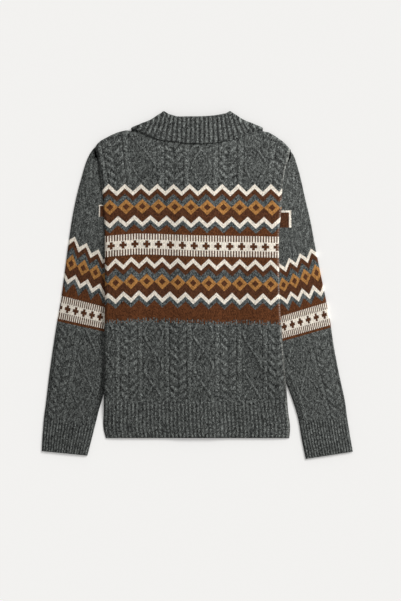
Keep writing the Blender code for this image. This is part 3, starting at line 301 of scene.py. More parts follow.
# Heights of the pattern's rows on the body, as if they were straight, from the top down.
Z1_CENTRE, Z1_REACH = 185.6, 7.5
Z1_SHIFT = 0.9             # how far to the left its points lie of the diamonds', in stitches
UPPER_DIAMONDS = 151.9
Z2_CENTRE, Z_REACH = 122.4, 7.2
DASH_TOP, DASH_BOTTOM = 96.5, 84.6
CROSS_Y = 76.0
CROSS_REACH, CROSS_HALF = 7.2, 2.9
LOW_DASH_TOP, LOW_DASH_BOTTOM = 67.3, 55.6
BAND_LINE_BOTTOM = 50.5    # lower end of the band on a sleeve
Z3_CENTRE = 39.8
LOWER_DIAMONDS = 3.7
Z4_CENTRE = -26.0
SOLID_BOTTOM, MIXED_BOTTOM = -66.3, -76.4
LINE_HALF = 4.5            # half the height of a pale zigzag
UNDER_LINE = 15.2          # how far under its middle the brown one ends
UNDER_LOW_LINE = 14.0
DIAMOND_HALF = 15.0
DIAMOND_HEART = 0.45
ROW_SAG = {                # how much higher the rows of the band lie than straight ones
    "x": (-175, -167, -143, -120, -96, -75, -52, -29, -4, 45, 115, 157),
    "rise": (-0.5, 1.0, 2.7, 5.0, 4.7, 4.3, 2.9, 2.1, 1.0, 0.2, -0.6, -1.8),
}
SAG_TOP, SAG_REACH = 205.0, 115.0  # where that starts, and how far down it grows
BODY_CROSSES = (0.99, 8.77)        # first cross and the distance to the next, in stitches

# Where the rows of a sleeve's band lie: height of the same row on the body, and its heights
# at two places across the sleeve.
LEFT_BAND = {
    "x": (-259.4, -181.4), "start": -246.1, "start_y": 38.0, "lean": 0.177, "width": 25.25,
    "rows": ((185.6, 94.4, 53.0), (151.9, 47.0, 19.3), (122.4, 17.2, -10.7),
             (110.7, 4.5, -23.4), (96.5, -21.5, -41.9), (55.6, -67.1, -84.4),
             (50.5, -72.4, -89.7)),
}
RIGHT_BAND = {
    "x": (251.6, 169.7), "start": 189.2, "start_y": 12.7, "lean": -0.2, "width": 23.0,
    "rows": ((185.6, 72.9, 37.6), (151.9, 31.8, 1.2), (122.4, -7.0, -25.9),
             (110.7, -19.7, -38.6), (96.5, -33.2, -58.5), (55.6, -79.2, -102.4),
             (50.5, -84.5, -107.7)),
}
LEFT_CROSSES = (4.2, 7.85)
RIGHT_CROSSES = (-2.5, 8.58)
# A small mark on each sleeve beside the body: its near and far side, bottom and top, and the
# width of its pale line.
LEFT_MOTIF = (-181.0, -191.0, 133.6, 157.0, 2.0)
RIGHT_MOTIF = (158.0, 183.5, 112.7, 146.4, 4.3)
MOTIF_FRAY = 3.0           # how ragged its outline is
FAR_FROM_MARK = (0.0, 0.0)

# -------------------- colours of the yarns
GREY_DARK = (0.026, 0.028, 0.027)
GREY_LIGHT = (0.205, 0.218, 0.206)
IVORY = (0.93, 0.85, 0.73)
RUST = (0.116, 0.039, 0.0130)
BROWN = (0.096, 0.035, 0.0145)
GOLD = (0.44, 0.205, 0.058)
BLUE_DARK = (0.028, 0.033, 0.034)
BLUE_LIGHT = (0.170, 0.190, 0.186)
# pale line by the right side seam only: seam thread, and painted highlight where that edge is
# lit
SEAM_THREAD_AND_HIGHLIGHT = (0.42, 0.41, 0.37)
HORN = (0.050, 0.030, 0.020)
HORN_STREAK = (0.16, 0.09, 0.05)
FLOOR = (0.895, 0.887, 0.871)


# -------------------- small helpers
def ease(t):
    """Smooth step from 0 to 1."""
    t = np.clip(t, 0.0, 1.0)
    return t * t * (3.0 - 2.0 * t)


def ramp(distance, start_and_length):
    """Smooth step that starts at a distance and takes a length."""
    start, length = start_and_length
    return ease((distance - start) / length)


def dome(t):
    """Quarter circle from 0 to 1."""
    t = np.clip(t, 0.0, 1.0)
    return np.sqrt(1.0 - (1.0 - t) ** 2)


def mix(a, b, t):
    return a + (b - a) * t


def hump(distance, width):
    """1 at no distance, fading away on both sides."""
    return np.exp(-(distance / width) ** 2)


def smooth_curve(knots, values):
    """A curve through the given values, with slopes taken from their neighbours."""
    knots = np.asarray(knots, float)
    values = np.asarray(values, float)
    slopes = np.gradient(values, knots)

    def at(t):
        t = np.clip(t, knots[0], knots[-1])
        i = np.clip(np.searchsorted(knots, t, side="right") - 1, 0, len(knots) - 2)
        span = knots[i + 1] - knots[i]
        u = (t - knots[i]) / span
        rise = values[i + 1] - values[i]
        bend_a = slopes[i] * span - rise
        bend_b = rise - slopes[i + 1] * span
        return values[i] + u * rise + u * (1 - u) * ((1 - u) * bend_a + u * bend_b)

    return at


def columns_of(rows, names):
    """A smooth curve for each named column of a table, against its first column."""
    table = list(zip(*rows))
    return {name: smooth_curve(table[0], table[i]) for i, name in enumerate(names)}


def spaced(start, stop, step, rolls):
    """Places from start to stop about a step apart, and closer together at both ends."""
    rolls = np.array(rolls)
    inner_start, inner_stop = start + rolls[-1], stop - rolls[-1]
    count = round((inner_stop - inner_start) / step)
    middle = np.linspace(inner_start, inner_stop, count + 1)
    return np.concatenate([start + rolls[:-1], middle, stop - rolls[-2::-1]])


def sides_of(grid):
    """The four border chains of a grid: bottom, right, top and left."""
    return [grid[0], grid[:, -1], grid[-1], grid[:, 0]]


def add_object(name, data):
    thing = bpy.data.objects.new(name, data)
    bpy.context.scene.collection.objects.link(thing)
    return thing


def add_piece(name, mesh, material):
    """Gives a closed mesh its outward normals and material, and drops points without a face."""
    shape = bmesh.new()
    shape.from_mesh(mesh)
    bmesh.ops.recalc_face_normals(shape, faces=shape.faces)
    loose = [vert for vert in shape.verts if not vert.link_faces]
    bmesh.ops.delete(shape, geom=loose, context="VERTS")
    shape.to_mesh(mesh)
    shape.free()
    mesh.shade_smooth()
    mesh.materials.append(material)
    return add_object(name, mesh)


class Shell:
    """Points, coordinates of knit and relief, and faces of one closed wall."""

    def __init__(self):
        self.points = []
        self.layers = {"knit": [], "knit_lower": [], "relief": []}
        self.count = 0
        self.quads = []
        self.triangles = []

    def grid(self, x, y, z, knit=None, lower_knit=None, tone=HIDDEN_SHADE_TONE, seam=0.0):
        """Adds a grid of points, and returns their numbers in the same shape.

        The knit is a stitch and a row, for each of the two sets of repeats.  The shade value is
        how high the knit lies, which the material paints as shade in the furrows and highlight
        on the ridges, and seam is 1 along a seam whose pale thread is drawn, partly as painted
        highlight of the lit edge.
        """
        knit = (x / PLAIN_STITCH, y / ROW) if knit is None else knit
        lower_knit = knit if lower_knit is None else lower_knit
        numbers = np.arange(self.count, self.count + x.size).reshape(x.shape)
        self.count += x.size
        for kept, values in ((self.points, (x, y, z)), (self.layers["knit"], knit),
                             (self.layers["knit_lower"], lower_knit),
                             (self.layers["relief"], (tone, seam))):
            values = [np.broadcast_to(value, x.shape).ravel() for value in values]
            kept.append(np.stack(values, axis=-1))
        return numbers

    def fill(self, numbers):
        """Quads over a grid of point numbers."""
        corners = (numbers[:-1, :-1], numbers[:-1, 1:], numbers[1:, 1:], numbers[1:, :-1])
        self.quads.append(np.stack([c.ravel() for c in corners], axis=-1))

    def close(self, grid, other):
        """Quads between the borders of two grids."""
        for side, other_side in zip(sides_of(grid), sides_of(other)):
            self.fill(np.stack([side, other_side]))

    def zip(self, a, b):
        """Triangles between two chains of point numbers, of any lengths."""
        places = np.concatenate(self.points)
        share_a, share_b = self.shares(places, a), self.shares(places, b)
        i = j = 0
        made = []
        while i < len(a) - 1 or j < len(b) - 1:
            b_is_done = j == len(b) - 1
            if b_is_done or (i < len(a) - 1 and share_a[i + 1] <= share_b[j + 1]):
                made.append((a[i], a[i + 1], b[j]))
                i += 1
            else:
                made.append((a[i], b[j + 1], b[j]))
                j += 1
        self.triangles.append(np.array(made))

    @staticmethod
    def shares(places, chain):
        """How far along its chain each point is, from 0 to 1."""
        steps = np.linalg.norm(np.diff(places[chain, :2], axis=0), axis=1) + 1e-6
        total = np.concatenate([[0.0], np.cumsum(steps)])
        return total / total[-1]

    def make(self, name, material):
        points = np.concatenate(self.points) * MM
        quads = np.concatenate(self.quads)
        triangles = np.concatenate(self.triangles or [np.zeros((0, 3), int)])
        corners = np.concatenate([quads.ravel(), triangles.ravel()])
        sizes = np.concatenate([np.full(len(quads), 4), np.full(len(triangles), 3)])
        starts = np.concatenate([[0], np.cumsum(sizes)[:-1]])
        mesh = bpy.data.meshes.new(name)
        mesh.vertices.add(len(points))
        mesh.vertices.foreach_set("co", points.astype(np.float32).ravel())
        mesh.loops.add(len(corners))
        mesh.loops.foreach_set("vertex_index", corners.astype(np.int32))
        mesh.polygons.add(len(sizes))
        mesh.polygons.foreach_set("loop_start", starts.astype(np.int32))
        mesh.update(calc_edges=True)
        for layer, values in self.layers.items():
            values = np.concatenate(values)[corners]
            uv = mesh.uv_layers.new(name=layer)
            uv.data.foreach_set("uv", values.astype(np.float32).ravel())
        return add_piece(name, mesh, material)


# -------------------- the body's outline
left_edge = smooth_curve(BODY_EDGES["y"], BODY_EDGES["left"])
right_edge = smooth_curve(BODY_EDGES["y"], BODY_EDGES["right"])


def side_edge(side, y):
    return left_edge(y) if side < 0 else right_edge(y)


def on_both(x, rule):
    """A rule that differs between the sides of the garment, at each x."""
    return np.where(x < 0, rule(-1), rule(1))


def back_top(x):
    """Shoulder line, with the back neck's curve in the middle."""
    neck = NECK_POINT_Y - BACK_NECK_DROP * (1.0 - (x / NECK_HALF_WIDTH) ** 2)
    shoulder = np.interp(x, SHOULDER_LINE["x"], SHOULDER_LINE["y"])
    return np.where(np.abs(x) < NECK_HALF_WIDTH, neck, shoulder)


def front_neck(angle):
    """Point on the front neck, from 0 degrees at the band to 90 at the shoulder."""
    turn = math.radians(angle)
    start = BAND_WIDTH / 2
    return (start + (NECK_HALF_WIDTH - start) * math.sin(turn),
            BAND_TOP + FRONT_NECK_DROP * (1.0 - math.cos(turn)))


NECK_ANGLES = (0, 15, 30, 45, 60, 75, 90)
NECK_NODES = tuple(front_neck(angle) for angle in NECK_ANGLES)
SHOULDER_NODES = (94.0, 104.0, 118.0, 135.0, 150.0, 163.0)


# -------------------- how the layers are stacked
def sleeve_table(side):
    return LEFT_SLEEVE if side < 0 else RIGHT_SLEEVE


def armhole_line(side, y):
    """x of the sleeve's open end under the side of the back."""
    outer_x, outer_y, inner_x, inner_y, bow = sleeve_table(side)[0]
    share = np.clip((outer_y - y) / (outer_y - inner_y), 0.0, 1.0)
    return mix(outer_x, inner_x, share) - side * bow * 4 * share * (1 - share)


def tube_inside(side, y):
    """x of the inner fold of a sleeve, or of its open end above the underarm."""
    table = sleeve_table(side)[::-1]
    fold = np.interp(y, [row[3] for row in table], [row[2] for row in table])
    return np.where(y > UNDERARM_Y, armhole_line(side, y), fold)


def over_exit(side, y):
    """1 where the sleeve is still under the body, 0 where it has come out."""
    exit_y = LEFT_EXIT_Y if side < 0 else RIGHT_EXIT_Y
    return ease((y - exit_y + EXIT_RAMP) / EXIT_RAMP)


def front_side_level(side, y):
    """Underside of a front along its side: up on the sleeve below the underarm."""
    above_underarm = ramp(y - UNDERARM_Y, FRONT_PAST_UNDERARM)
    return OVER_TUBE * (1.0 - above_underarm) * over_exit(side, y)


def inward(side, x, line):
    """Distance of x from a line, towards the middle of the body."""
    return (line - x) * side


def front_level(side, x, y):
    """Underside of a front."""
    from_tube = inward(side, x, tube_inside(side, y))
    on_sleeve = front_side_level(side, y) * (1.0 - ramp(from_tube, FRONT_OFF_SLEEVE))
    band_level = BUTTON_BAND_Z if side < 0 else BUTTONHOLE_BAND_Z
    by_band = band_level * (1.0 - ramp(np.abs(x) - BAND_WIDTH / 2, FRONT_OFF_BAND))
    reach = np.interp(np.abs(x), COLLAR_REACH["x"], COLLAR_REACH["y"])
    on_collar = OVER_COLLAR * ramp(y - reach, FRONT_OFF_COLLAR)
    return np.maximum(np.maximum(on_sleeve, by_band), on_collar)


def edge_level(x, y):
    """Lowest point of the back where it turns down over its side edge."""
    return OVER_TUBE * on_both(x, lambda side: over_exit(side, y))


def back_level(x, y):
    """Underside of the back, clear of all that it lies on."""
    from_tube = on_both(x, lambda side: inward(side, x, tube_inside(side, y)))
    on_front = np.maximum(*(on_both(x, lambda side: front_side_level(side, y + reach))
                            for reach in (-SLOPE_REACH, SLOPE_REACH)))
    by_side = np.maximum(on_front + WALL + LAYER_ROOM, edge_level(x, y) + LAYER_ROOM)
    level = mix(by_side, BACK_Z, ramp(from_tube, BACK_OFF_SLEEVE))
    over_bands = 1.0 - ramp(np.abs(x) - BAND_WIDTH / 2, BACK_OFF_BANDS)
    over_bands = over_bands * (1.0 - ramp(y - BAND_TOP, BACK_PAST_BANDS))
    return level + (BACK_OVER_BANDS - BACK_Z) * over_bands


# -------------------- how the relief is shaped
def ripple(turns):
    """Waves between 0 and 1, one to a turn."""
    return 0.5 + 0.5 * np.cos(2 * math.pi * turns)


def cord_relief(share, along):
    """A narrow rope, with slanting furrows between its strands."""
    rounded = np.sqrt(np.clip(1.0 - (2 * share - 1) ** 2, 0.0, 1.0))
    return rounded * mix(CORD_DIP, 1.0, ripple(along / CORD_TWIST + CORD_SLANT * share))


def vee_relief(share, along):
    """Nested chevrons that point down, with a furrow between their halves."""
    out = np.abs(2 * share - 1)
    strand = ripple(along / VEE_PERIOD - VEE_HANG * out) ** RIDGE_POWER
    middle = 1.0 - VEE_FURROW * hump(out, VEE_FURROW_WIDTH)
    return strand * middle * ease((1.0 - out) / VEE_BORDER)


def lattice_relief(share, along, width):
    """Two thin strands that cross and part, one passing over the other."""
    across = (share - 0.5) * width
    phase = np.mod(along / LATTICE_PERIOD + 0.5, 1.0) - 0.5
    reach = width / 2 - STRAND_WIDTH
    swing = reach * mix(2 * phase, np.sin(math.pi * phase), ROUNDNESS)
    over = hump(across + swing, STRAND_WIDTH)
    under = LOW_STRAND * hump(across - swing, STRAND_WIDTH)
    under = under * (1.0 - CROSSING_DIP * hump(phase, CROSSING_LENGTH))
    beside = np.minimum(np.abs(across + swing), np.abs(across - swing)) / STRAND_WIDTH
    filling = FILLING * ramp(beside, (FILLING_START, 1.0))
    return np.maximum(np.maximum(over, under), filling)


def column_relief(x, borders, cables, along, crossing_y):
    """Relief across columns of cables, with a furrow at each border, in millimetres."""
    relief = np.zeros_like(x)
    furrow = np.zeros_like(x)
    for (kind, *_), left, right in zip(cables, borders, borders[1:]):
        width = right - left
        share = (x - left) / width
        inside = (share >= 0.0) & (share < 1.0)
        share = np.clip(share, 0.0, 1.0)
        if kind == "cord":
            height = cord_relief(share, along)
        elif kind == "vee":
            height = vee_relief(share, along)
        elif kind == "lattice":
            height = lattice_relief(share, along - crossing_y, width)
        else:
            height = lattice_relief(0.5 + share / 2, along - crossing_y, 2 * width)
        relief = np.where(inside, height, relief)
        furrow = np.maximum(furrow, hump(x - left, FURROW_WIDTH))
    return CABLE_HEIGHT * relief - FURROW_DEPTH * furrow


def cable_tone(relief):
    """Painted shade and highlight of a cable by its height: plain knit is between a furrow and
    a ridge.
    """
    return np.clip(mix(CABLE_SHADE_TONE_LOW, 1.0, relief / CABLE_HEIGHT), 0.0, 1.0)


def crease_depth(x, y, creases):
    """Soft troughs and ridges that cross a piece."""
    depth = np.zeros_like(x)
    for x0, y0, x1, y1, width, amount in creases:
        dx, dy = x1 - x0, y1 - y0
        t = ((x - x0) * dx + (y - y0) * dy) / (dx * dx + dy * dy)
        t_near = np.clip(t, 0.0, 1.0)
        away = np.hypot(x - x0 - t_near * dx, y - y0 - t_near * dy)
        fading = ease((CREASE_FADE - np.abs(2 * t - 1)) / CREASE_FADE)
        depth = depth + amount * hump(away, width) * fading
    return depth


def rib_relief(count, share):
    """Rounded ridges of a rib, from 0 to 1."""
    return ripple(count * share + 0.5) ** RIDGE_POWER


# -------------------- where the patterned rows lie
def body_knit(x, y):
    """Stitch and row of a point on the body, for both sets of repeats."""
    sag = np.interp(x, ROW_SAG["x"], ROW_SAG["rise"])
    row = (y - sag * np.clip((SAG_TOP - y) / SAG_REACH, 0.0, 1.0)) / ROW
    upper = STITCHES * (x - UPPER_REPEAT["start"]) / UPPER_REPEAT["width"]
    lower = STITCHES * (x - LOWER_REPEAT["start"]) / LOWER_REPEAT["width"]
    return (upper, row), (lower, row)


def sleeve_knit(side, x, y):
    """Stitch and row of a point on a sleeve."""
    band = LEFT_BAND if side < 0 else RIGHT_BAND
    share = (x - band["x"][0]) / (band["x"][1] - band["x"][0])
    lines = [(height, mix(outer, inner, share)) for height, outer, inner in band["rows"]]
    row = lines[0][0] + np.maximum(y - lines[0][1], 0.0)
    for (height, line), (next_height, next_line) in zip(lines, lines[1:]):
        row = row - (height - next_height) * np.clip((line - y) / (line - next_line), 0.0, 1.0)
    row = row - np.maximum(lines[-1][1] - y, 0.0)
    start = band["start"] + band["lean"] * (y - band["start_y"])
    return STITCHES * (x - start) / band["width"], row / ROW


def zigzag(stitch):
    """Triangle wave, 1 over the middle of a diamond and -1 between two of them."""
    return 1.0 - 4.0 * np.abs(np.mod(stitch / STITCHES + 0.5, 1.0) - 0.5)


def above_band(stitch, row):
    """1 above the patterned band's first zigzag and 0 in it, with a soft change."""
    band_top = Z1_CENTRE + Z1_REACH * zigzag(stitch + Z1_SHIFT) + LINE_HALF
    return ease((row * ROW - band_top) / BAND_FADE)


def body_zones(x, y):
    """How far points of the body are in the yoke, the lower cables, the hem and plain knit."""
    (stitch, row), _ = body_knit(x, y)
    yoke = above_band(stitch, row)
    under_band = ease((LOWER_CABLES_TOP - BODY_BAND_GAP - row * ROW) / BAND_FADE)
    lower = under_band * ease((y - HEM_RIB_TOP) / HEM_FADE)
    hem = ease((HEM_RIB_TOP - y) / HEM_FADE)
    return yoke, lower, hem, 1.0 - yoke - lower - hem


# -------------------- back
SIDE_ROLL = 6.0            # how far in from its side edge the back is rounded over
END_ROLL = 3.0             # the same at the hem and at the neck
EDGE_DROP = 0.1            # how little the edge at the neck and the hem is turned down
ROLL_STEPS = (0.0, 0.35, 0.9, 1.7, 2.8, 4.2, 6.0)
BACK_STEP = 1.65           # between points of the mesh
BACK_SPAN = 360.0          # width of the back, for the count of its columns
HIDDEN_STRIDE = 7          # how much coarser the side that doesn't show is
UNDER_FALL = (9.0, 8.0)    # ramp of the relief that fades out before the collar's free edge
TOP_EDGE_ON_SLEEVE = (-18.0, 12.0)   # ramp of the shoulder's edge up on to the sleeve's top
NO_FALL = 400.0            # a height above the whole garment
END_REACH = 1.0            # a point this near to the top or the hem counts as on it
SEAM_THREAD_IN, SEAM_THREAD_WIDTH = 1.9, 1.2     # of the pale line by the right side seam: seam thread and painted highlight of the lit edge


def fall_edge(x):
    """Height on the back of the collar's free edge, and out of reach past its ends."""
    end = [row[-2:] for row in COLLAR_END if row[0] >= 0.0]
    across = end + [row[-2:] for row in COLLAR_BACK[1:]]
    across += [(-edge_x, edge_y) for edge_x, edge_y in end[-2::-1]]
    return np.interp(x, *zip(*across), left=NO_FALL, right=NO_FALL)


def top_edge_level(x, y):
    """Lowest point of the back along its shoulders and neck."""
    past_armhole = np.abs(x) - np.abs(on_both(x, lambda side: armhole_line(side, y)))
    on_front = on_both(x, lambda side: front_level(side, x, y))
    shoulder = mix(on_front, OVER_TUBE, ramp(past_armhole, TOP_EDGE_ON_SLEEVE))
    return np.where(np.abs(x) < NECK_HALF_WIDTH, back_level(x, y) - EDGE_DROP, shoulder)


def back_outer_z(x, y, relief):
    """Outer skin of the back: its level, its relief and its rounded edges."""
    z = back_level(x, y) + WALL + relief * ramp(fall_edge(x) - y, UNDER_FALL)
    from_side = on_both(x, lambda side: inward(side, x, side_edge(side, y)))
    low = edge_level(x, y)
    z = np.minimum(z, mix(low, z, dome(from_side / SIDE_ROLL)))
    roll = np.where(np.abs(x) < NECK_HALF_WIDTH, END_ROLL, SIDE_ROLL)
    z = np.minimum(z, mix(top_edge_level(x, y), z, dome((back_top(x) - y) / roll)))
    low = back_level(x, y) - EDGE_DROP
    return np.minimum(z, mix(low, z, dome((y - HEM_Y) / END_ROLL)))


def back_borders(y):
    """Borders of the columns of relief at each height on the back."""
    in_yoke = ease((y - LOWER_CABLES_TOP) / (YOKE_BOTTOM - LOWER_CABLES_TOP))
    rise = np.maximum(y - YOKE_BOTTOM, 0.0)
    return [mix(lower, yoke, in_yoke) + lean * rise for _, yoke, lower, lean in BACK_CABLES]


def back_relief(x, y):
    """Relief of the cables over and under the patterned band and of the hem, with its painted
    shade and highlight.
    """
    in_yoke, in_lower, in_hem, plain = body_zones(x, y)
    yoke, lower = (column_relief(x, back_borders(y), BACK_CABLES, y, crossing_y)
                   for crossing_y in (YOKE_CROSSING_Y, LOWER_CROSSING_Y))
    low, high = left_edge(y) + RIB_EDGE, right_edge(y) - RIB_EDGE
    ribs = rib_relief(HEM_RIBS, (x - low) / (high - low))
    relief = yoke * in_yoke + lower * in_lower + RIB_HEIGHT * ribs * in_hem
    tone = cable_tone(yoke) * in_yoke + cable_tone(lower) * in_lower
    tone = tone + mix(RIB_SHADE_TONE_LOW, 1.0, ribs) * in_hem + PLAIN_SHADE_TONE * plain
    return relief - crease_depth(x, y, CREASES), tone


def body_grid(across, ys, inset, roll):
    """A grid over the back: columns follow its side edges and rows its shoulders."""
    side_y = np.minimum(ys, BODY_EDGES["y"][-1])[:, None]
    x = mix(left_edge(side_y) + inset, right_edge(side_y) - inset, across[None, :])
    tilt = np.clip((ys - YOKE_BOTTOM) / (YOKE_TOP - roll - YOKE_BOTTOM), 0.0, 1.0)[:, None] ** 2
    return x, ys[:, None] + tilt * (back_top(x) - YOKE_TOP)


def make_back(material):
    shell = Shell()
    ys = spaced(HEM_Y, YOKE_TOP, BACK_STEP, ROLL_STEPS)
    across = spaced(0.0, BACK_SPAN, BACK_STEP, ROLL_STEPS) / BACK_SPAN
    x, y = body_grid(across, ys, 0.0, SIDE_ROLL)
    relief, tone = back_relief(x, y)
    # pale line along the right side seam only: seam thread and painted highlight of the lit
    # edge
    from_edge = right_edge(np.minimum(y, BODY_EDGES["y"][-1])) - x
    seam = hump(from_edge - SEAM_THREAD_IN, SEAM_THREAD_WIDTH)
    show = shell.grid(x, y, back_outer_z(x, y, relief), *body_knit(x, y), tone, seam)
    shell.fill(show)

    ys = np.linspace(HEM_Y + INSET, YOKE_TOP - INSET, len(ys) // HIDDEN_STRIDE)
    across = np.linspace(0.0, 1.0, len(across) // HIDDEN_STRIDE)
    x, y = body_grid(across, ys, INSET, INSET)
    z = back_level(x, y)
    hidden = shell.grid(x, y, z, *body_knit(x, y))
    shell.fill(hidden)

    by_top = y > BODY_EDGES["y"][-1] - END_REACH
    low = np.where(by_top, top_edge_level(x, y), edge_level(x, y))
    low = np.where(np.abs(y - HEM_Y) < INSET + END_REACH, z - EDGE_DROP, low)
    foot = shell.grid(x, y, np.minimum(low, z - EDGE_DROP), *body_knit(x, y))
    for edge, low_edge in zip(sides_of(show), sides_of(foot)):
        shell.zip(edge, low_edge)
    shell.close(foot, hidden)
    return shell.make("back_cloth", material)


# -------------------- fronts
FRONT_HEM_LIFT = 4.0       # the fronts' hems end just inside the back's
SHOULDER_END_Y = 262.0
FRONT_TO_ARMHOLE = (4.0, 12.0)       # ramp above the underarm of a front's side edge
FRONT_TILT_Y = UNDERARM_Y + 60.0     # above this the rows start to follow the top edge
FRONT_STEP = 2.2
FRONT_FURROW = 0.7         # depth of the furrows of the side that lies on the floor
FRONT_EDGE_FADE = 4.0      # and how far in from the edges they start
# painted shade in the furrows and painted highlight on the ridges of a front's knit
FRONT_SHADE_TONES = (0.3, 0.8)
FRONT_RIBS = 21.6          # in the span of the next line
FRONT_RIB_SPAN = 162.5


def front_side(side, y):
    """Side edge of a front: beside the sleeve's open end, or inside the back's edge."""
    by_armhole = armhole_line(side, y) - side * (SEAM + FACET_ROOM)
    by_side = side_edge(side, y) - side * (INSET + SEAM + FACET_ROOM)
    return mix(by_side, by_armhole, ramp(y - UNDERARM_Y, FRONT_TO_ARMHOLE))


def front_top_row(side):
    """Points along the top edge of a front, from the band round the neck to the shoulder."""
    start = BAND_WIDTH / 2 + SEAM
    points = [(start, BAND_TOP)]
    points += [(x, y - SEAM) for x, y in NECK_NODES[1:]]
    end = abs(float(front_side(side, SHOULDER_END_Y)))
    for x in (*SHOULDER_NODES, (SHOULDER_NODES[-1] + end) / 2, end):
        points.append((x, float(back_top(side * x)) - INSET - 2 * SEAM))
    return points


def front_relief(x, y):
    """Cables and ribs of a front, from 0 in the furrows to 1 on the ridges."""
    in_yoke, in_lower, in_hem, plain = body_zones(x, y)
    cables = column_relief(x, back_borders(y), BACK_CABLES, y, LOWER_CROSSING_Y) / CABLE_HEIGHT
    ribs = rib_relief(FRONT_RIBS, (np.abs(x) - BAND_WIDTH / 2) / FRONT_RIB_SPAN)
    return np.clip(cables * (in_yoke + in_lower) + ribs * in_hem + plain, 0.0, 1.0)


def make_front(side, name, material):
    shell = Shell()
    top_x, top_y = map(np.array, zip(*front_top_row(side)))
    start, end = top_x[0], top_x[-1]
    across = np.linspace(start, end, round((end - start) / FRONT_STEP) + 1)
    crest = np.interp(across, top_x, top_y)
    ys = np.arange(HEM_Y + FRONT_HEM_LIFT, BAND_TOP + FRONT_STEP / 2, FRONT_STEP)
    ys[-1] = BAND_TOP
    tilt = ease((ys - FRONT_TILT_Y) / (BAND_TOP - FRONT_TILT_Y))
    y = ys[:, None] + tilt[:, None] * (crest[None, :] - BAND_TOP)
    side_x = np.abs(front_side(side, np.minimum(y, SHOULDER_END_Y)))
    x = side * mix(start, side_x, ((across - start) / (end - start))[None, :])
    level = front_level(side, x, y)
    edge = np.minimum(np.abs(x) - start, side_x - np.abs(x))
    edge = np.minimum(edge, np.minimum(y - ys[0], crest[None, :] - y))
    relief = front_relief(x, y)
    furrow = FRONT_FURROW * (1.0 - relief) * ease(edge / FRONT_EDGE_FADE)
    under = shell.grid(x, y, level + furrow, *body_knit(x, y), mix(*FRONT_SHADE_TONES, relief))
    over = shell.grid(x, y, level + WALL, *body_knit(x, y))
    shell.fill(under)
    shell.fill(over)
    shell.close(under, over)
    return shell.make(name, material)


# -------------------- sleeves
FOLD_ROLL = 3.4            # how far in from a fold the tube is rounded over
SLEEVE_ROLL_STEPS = (0.0, 0.2, 0.55, 1.1, 1.9, 3.4)
SLEEVE_ROW = 1.7           # between rows of points
UPPER_COLUMNS, UNDER_COLUMNS, INSIDE_COLUMNS = 101, 9, 7
INNER_STRIDE = 9           # how much coarser the inside is
FINE_STATIONS = 601        # for measuring along a sleeve
TUBE_INSET = WALL + TUBE_AIR         # from a fold to the inside of the tube
UPPER_STRENGTH = 0.55      # the upper cables of a sleeve are softer than the lower ones
LOWER_STRENGTH = 0.75
CLEAR_OF_BODY = (1.0, 6.0)           # ramp of a sleeve's relief beside the body's edge
FOLD_FADE = 4.0            # how far in from a fold its relief is whole


def sleeve_sections(side, at):
    """Sections of a sleeve, as columns of values at section numbers."""
    table = sleeve_table(side)
    numbers = range(len(table))
    return [smooth_curve(numbers, column)(at)[:, None] for column in zip(*table)]


def on_section(side, section, share):
    """x and y at a share of the way from the outer fold to the inner one."""
    outer_x, outer_y, inner_x, inner_y, bow = section
    bulge = bow * 4 * share * (1 - share)
    return mix(outer_x, inner_x, share) - side * bulge, mix(outer_y, inner_y, share)


def tube_top(share):
    return 2 * WALL + TUBE_AIR + SLEEVE_PUFF * np.sin(math.pi * np.clip(share, 0.0, 1.0))


def sleeve_stations(side):
    """Section numbers that lie about a row apart along the middle of a sleeve."""
    fine = np.linspace(0.0, CUFF_END, FINE_STATIONS)
    x, y = on_section(side, sleeve_sections(side, fine), 0.5)
    steps = np.hypot(np.diff(x[:, 0]), np.diff(y[:, 0]))
    along = np.concatenate([[0.0], np.cumsum(steps)])
    count = round(along[-1] / SLEEVE_ROW)
    places = np.linspace(0.0, along[-1], count + 1)
    return np.interp(places, along, fine), places


def sleeve_relief(side, x, y, share, width, at, along):
    """Relief of a sleeve's cables and of its cuff's ribs, with its painted shade and highlight.
    """
    stitch, row = sleeve_knit(side, x, y)
    in_cuff = ease((at - CUFF_START) / CUFF_FADE)
    under_band = ease((BAND_LINE_BOTTOM - SLEEVE_BAND_GAP - row * ROW) / BAND_FADE)
    strength = (UPPER_STRENGTH * above_band(stitch, row)
                + LOWER_STRENGTH * under_band * (1.0 - in_cuff))
    borders = [border * width for _, border in SLEEVE_CABLES]
    cables = column_relief(share * width, borders, SLEEVE_CABLES, -along, 0.0)
    rib_share = (share * width - CUFF_RIB_EDGE) / (width - 2 * CUFF_RIB_EDGE)
    ribs = rib_relief(CUFF_RIBS, rib_share) * in_cuff
    from_body = -inward(side, x, side_edge(side, np.maximum(y, HEM_Y)))
    clear = np.where(y > HEM_Y, ramp(from_body, CLEAR_OF_BODY), 1.0)
    inside = ease(np.minimum(share, 1.0 - share) * width / FOLD_FADE)
    relief = (cables * strength + RIB_HEIGHT * ribs) * inside
    relief = relief - crease_depth(x, y, SLEEVE_CREASES)
    tone = mix(PLAIN_SHADE_TONE, cable_tone(cables), strength)
    return relief * clear, mix(tone, mix(RIB_SHADE_TONE_LOW, 1.0, ribs), in_cuff)


def across_tube(rolls, count):
    """Shares of the way from fold to fold: on both rolls, and evenly between them."""
    middle = rolls[:, -1:] + np.linspace(0.0, 1.0, count)[None, :] * (1 - 2 * rolls[:, -1:])
    return np.concatenate([rolls[:, :-1], middle, 1 - rolls[:, -2::-1]], axis=1)


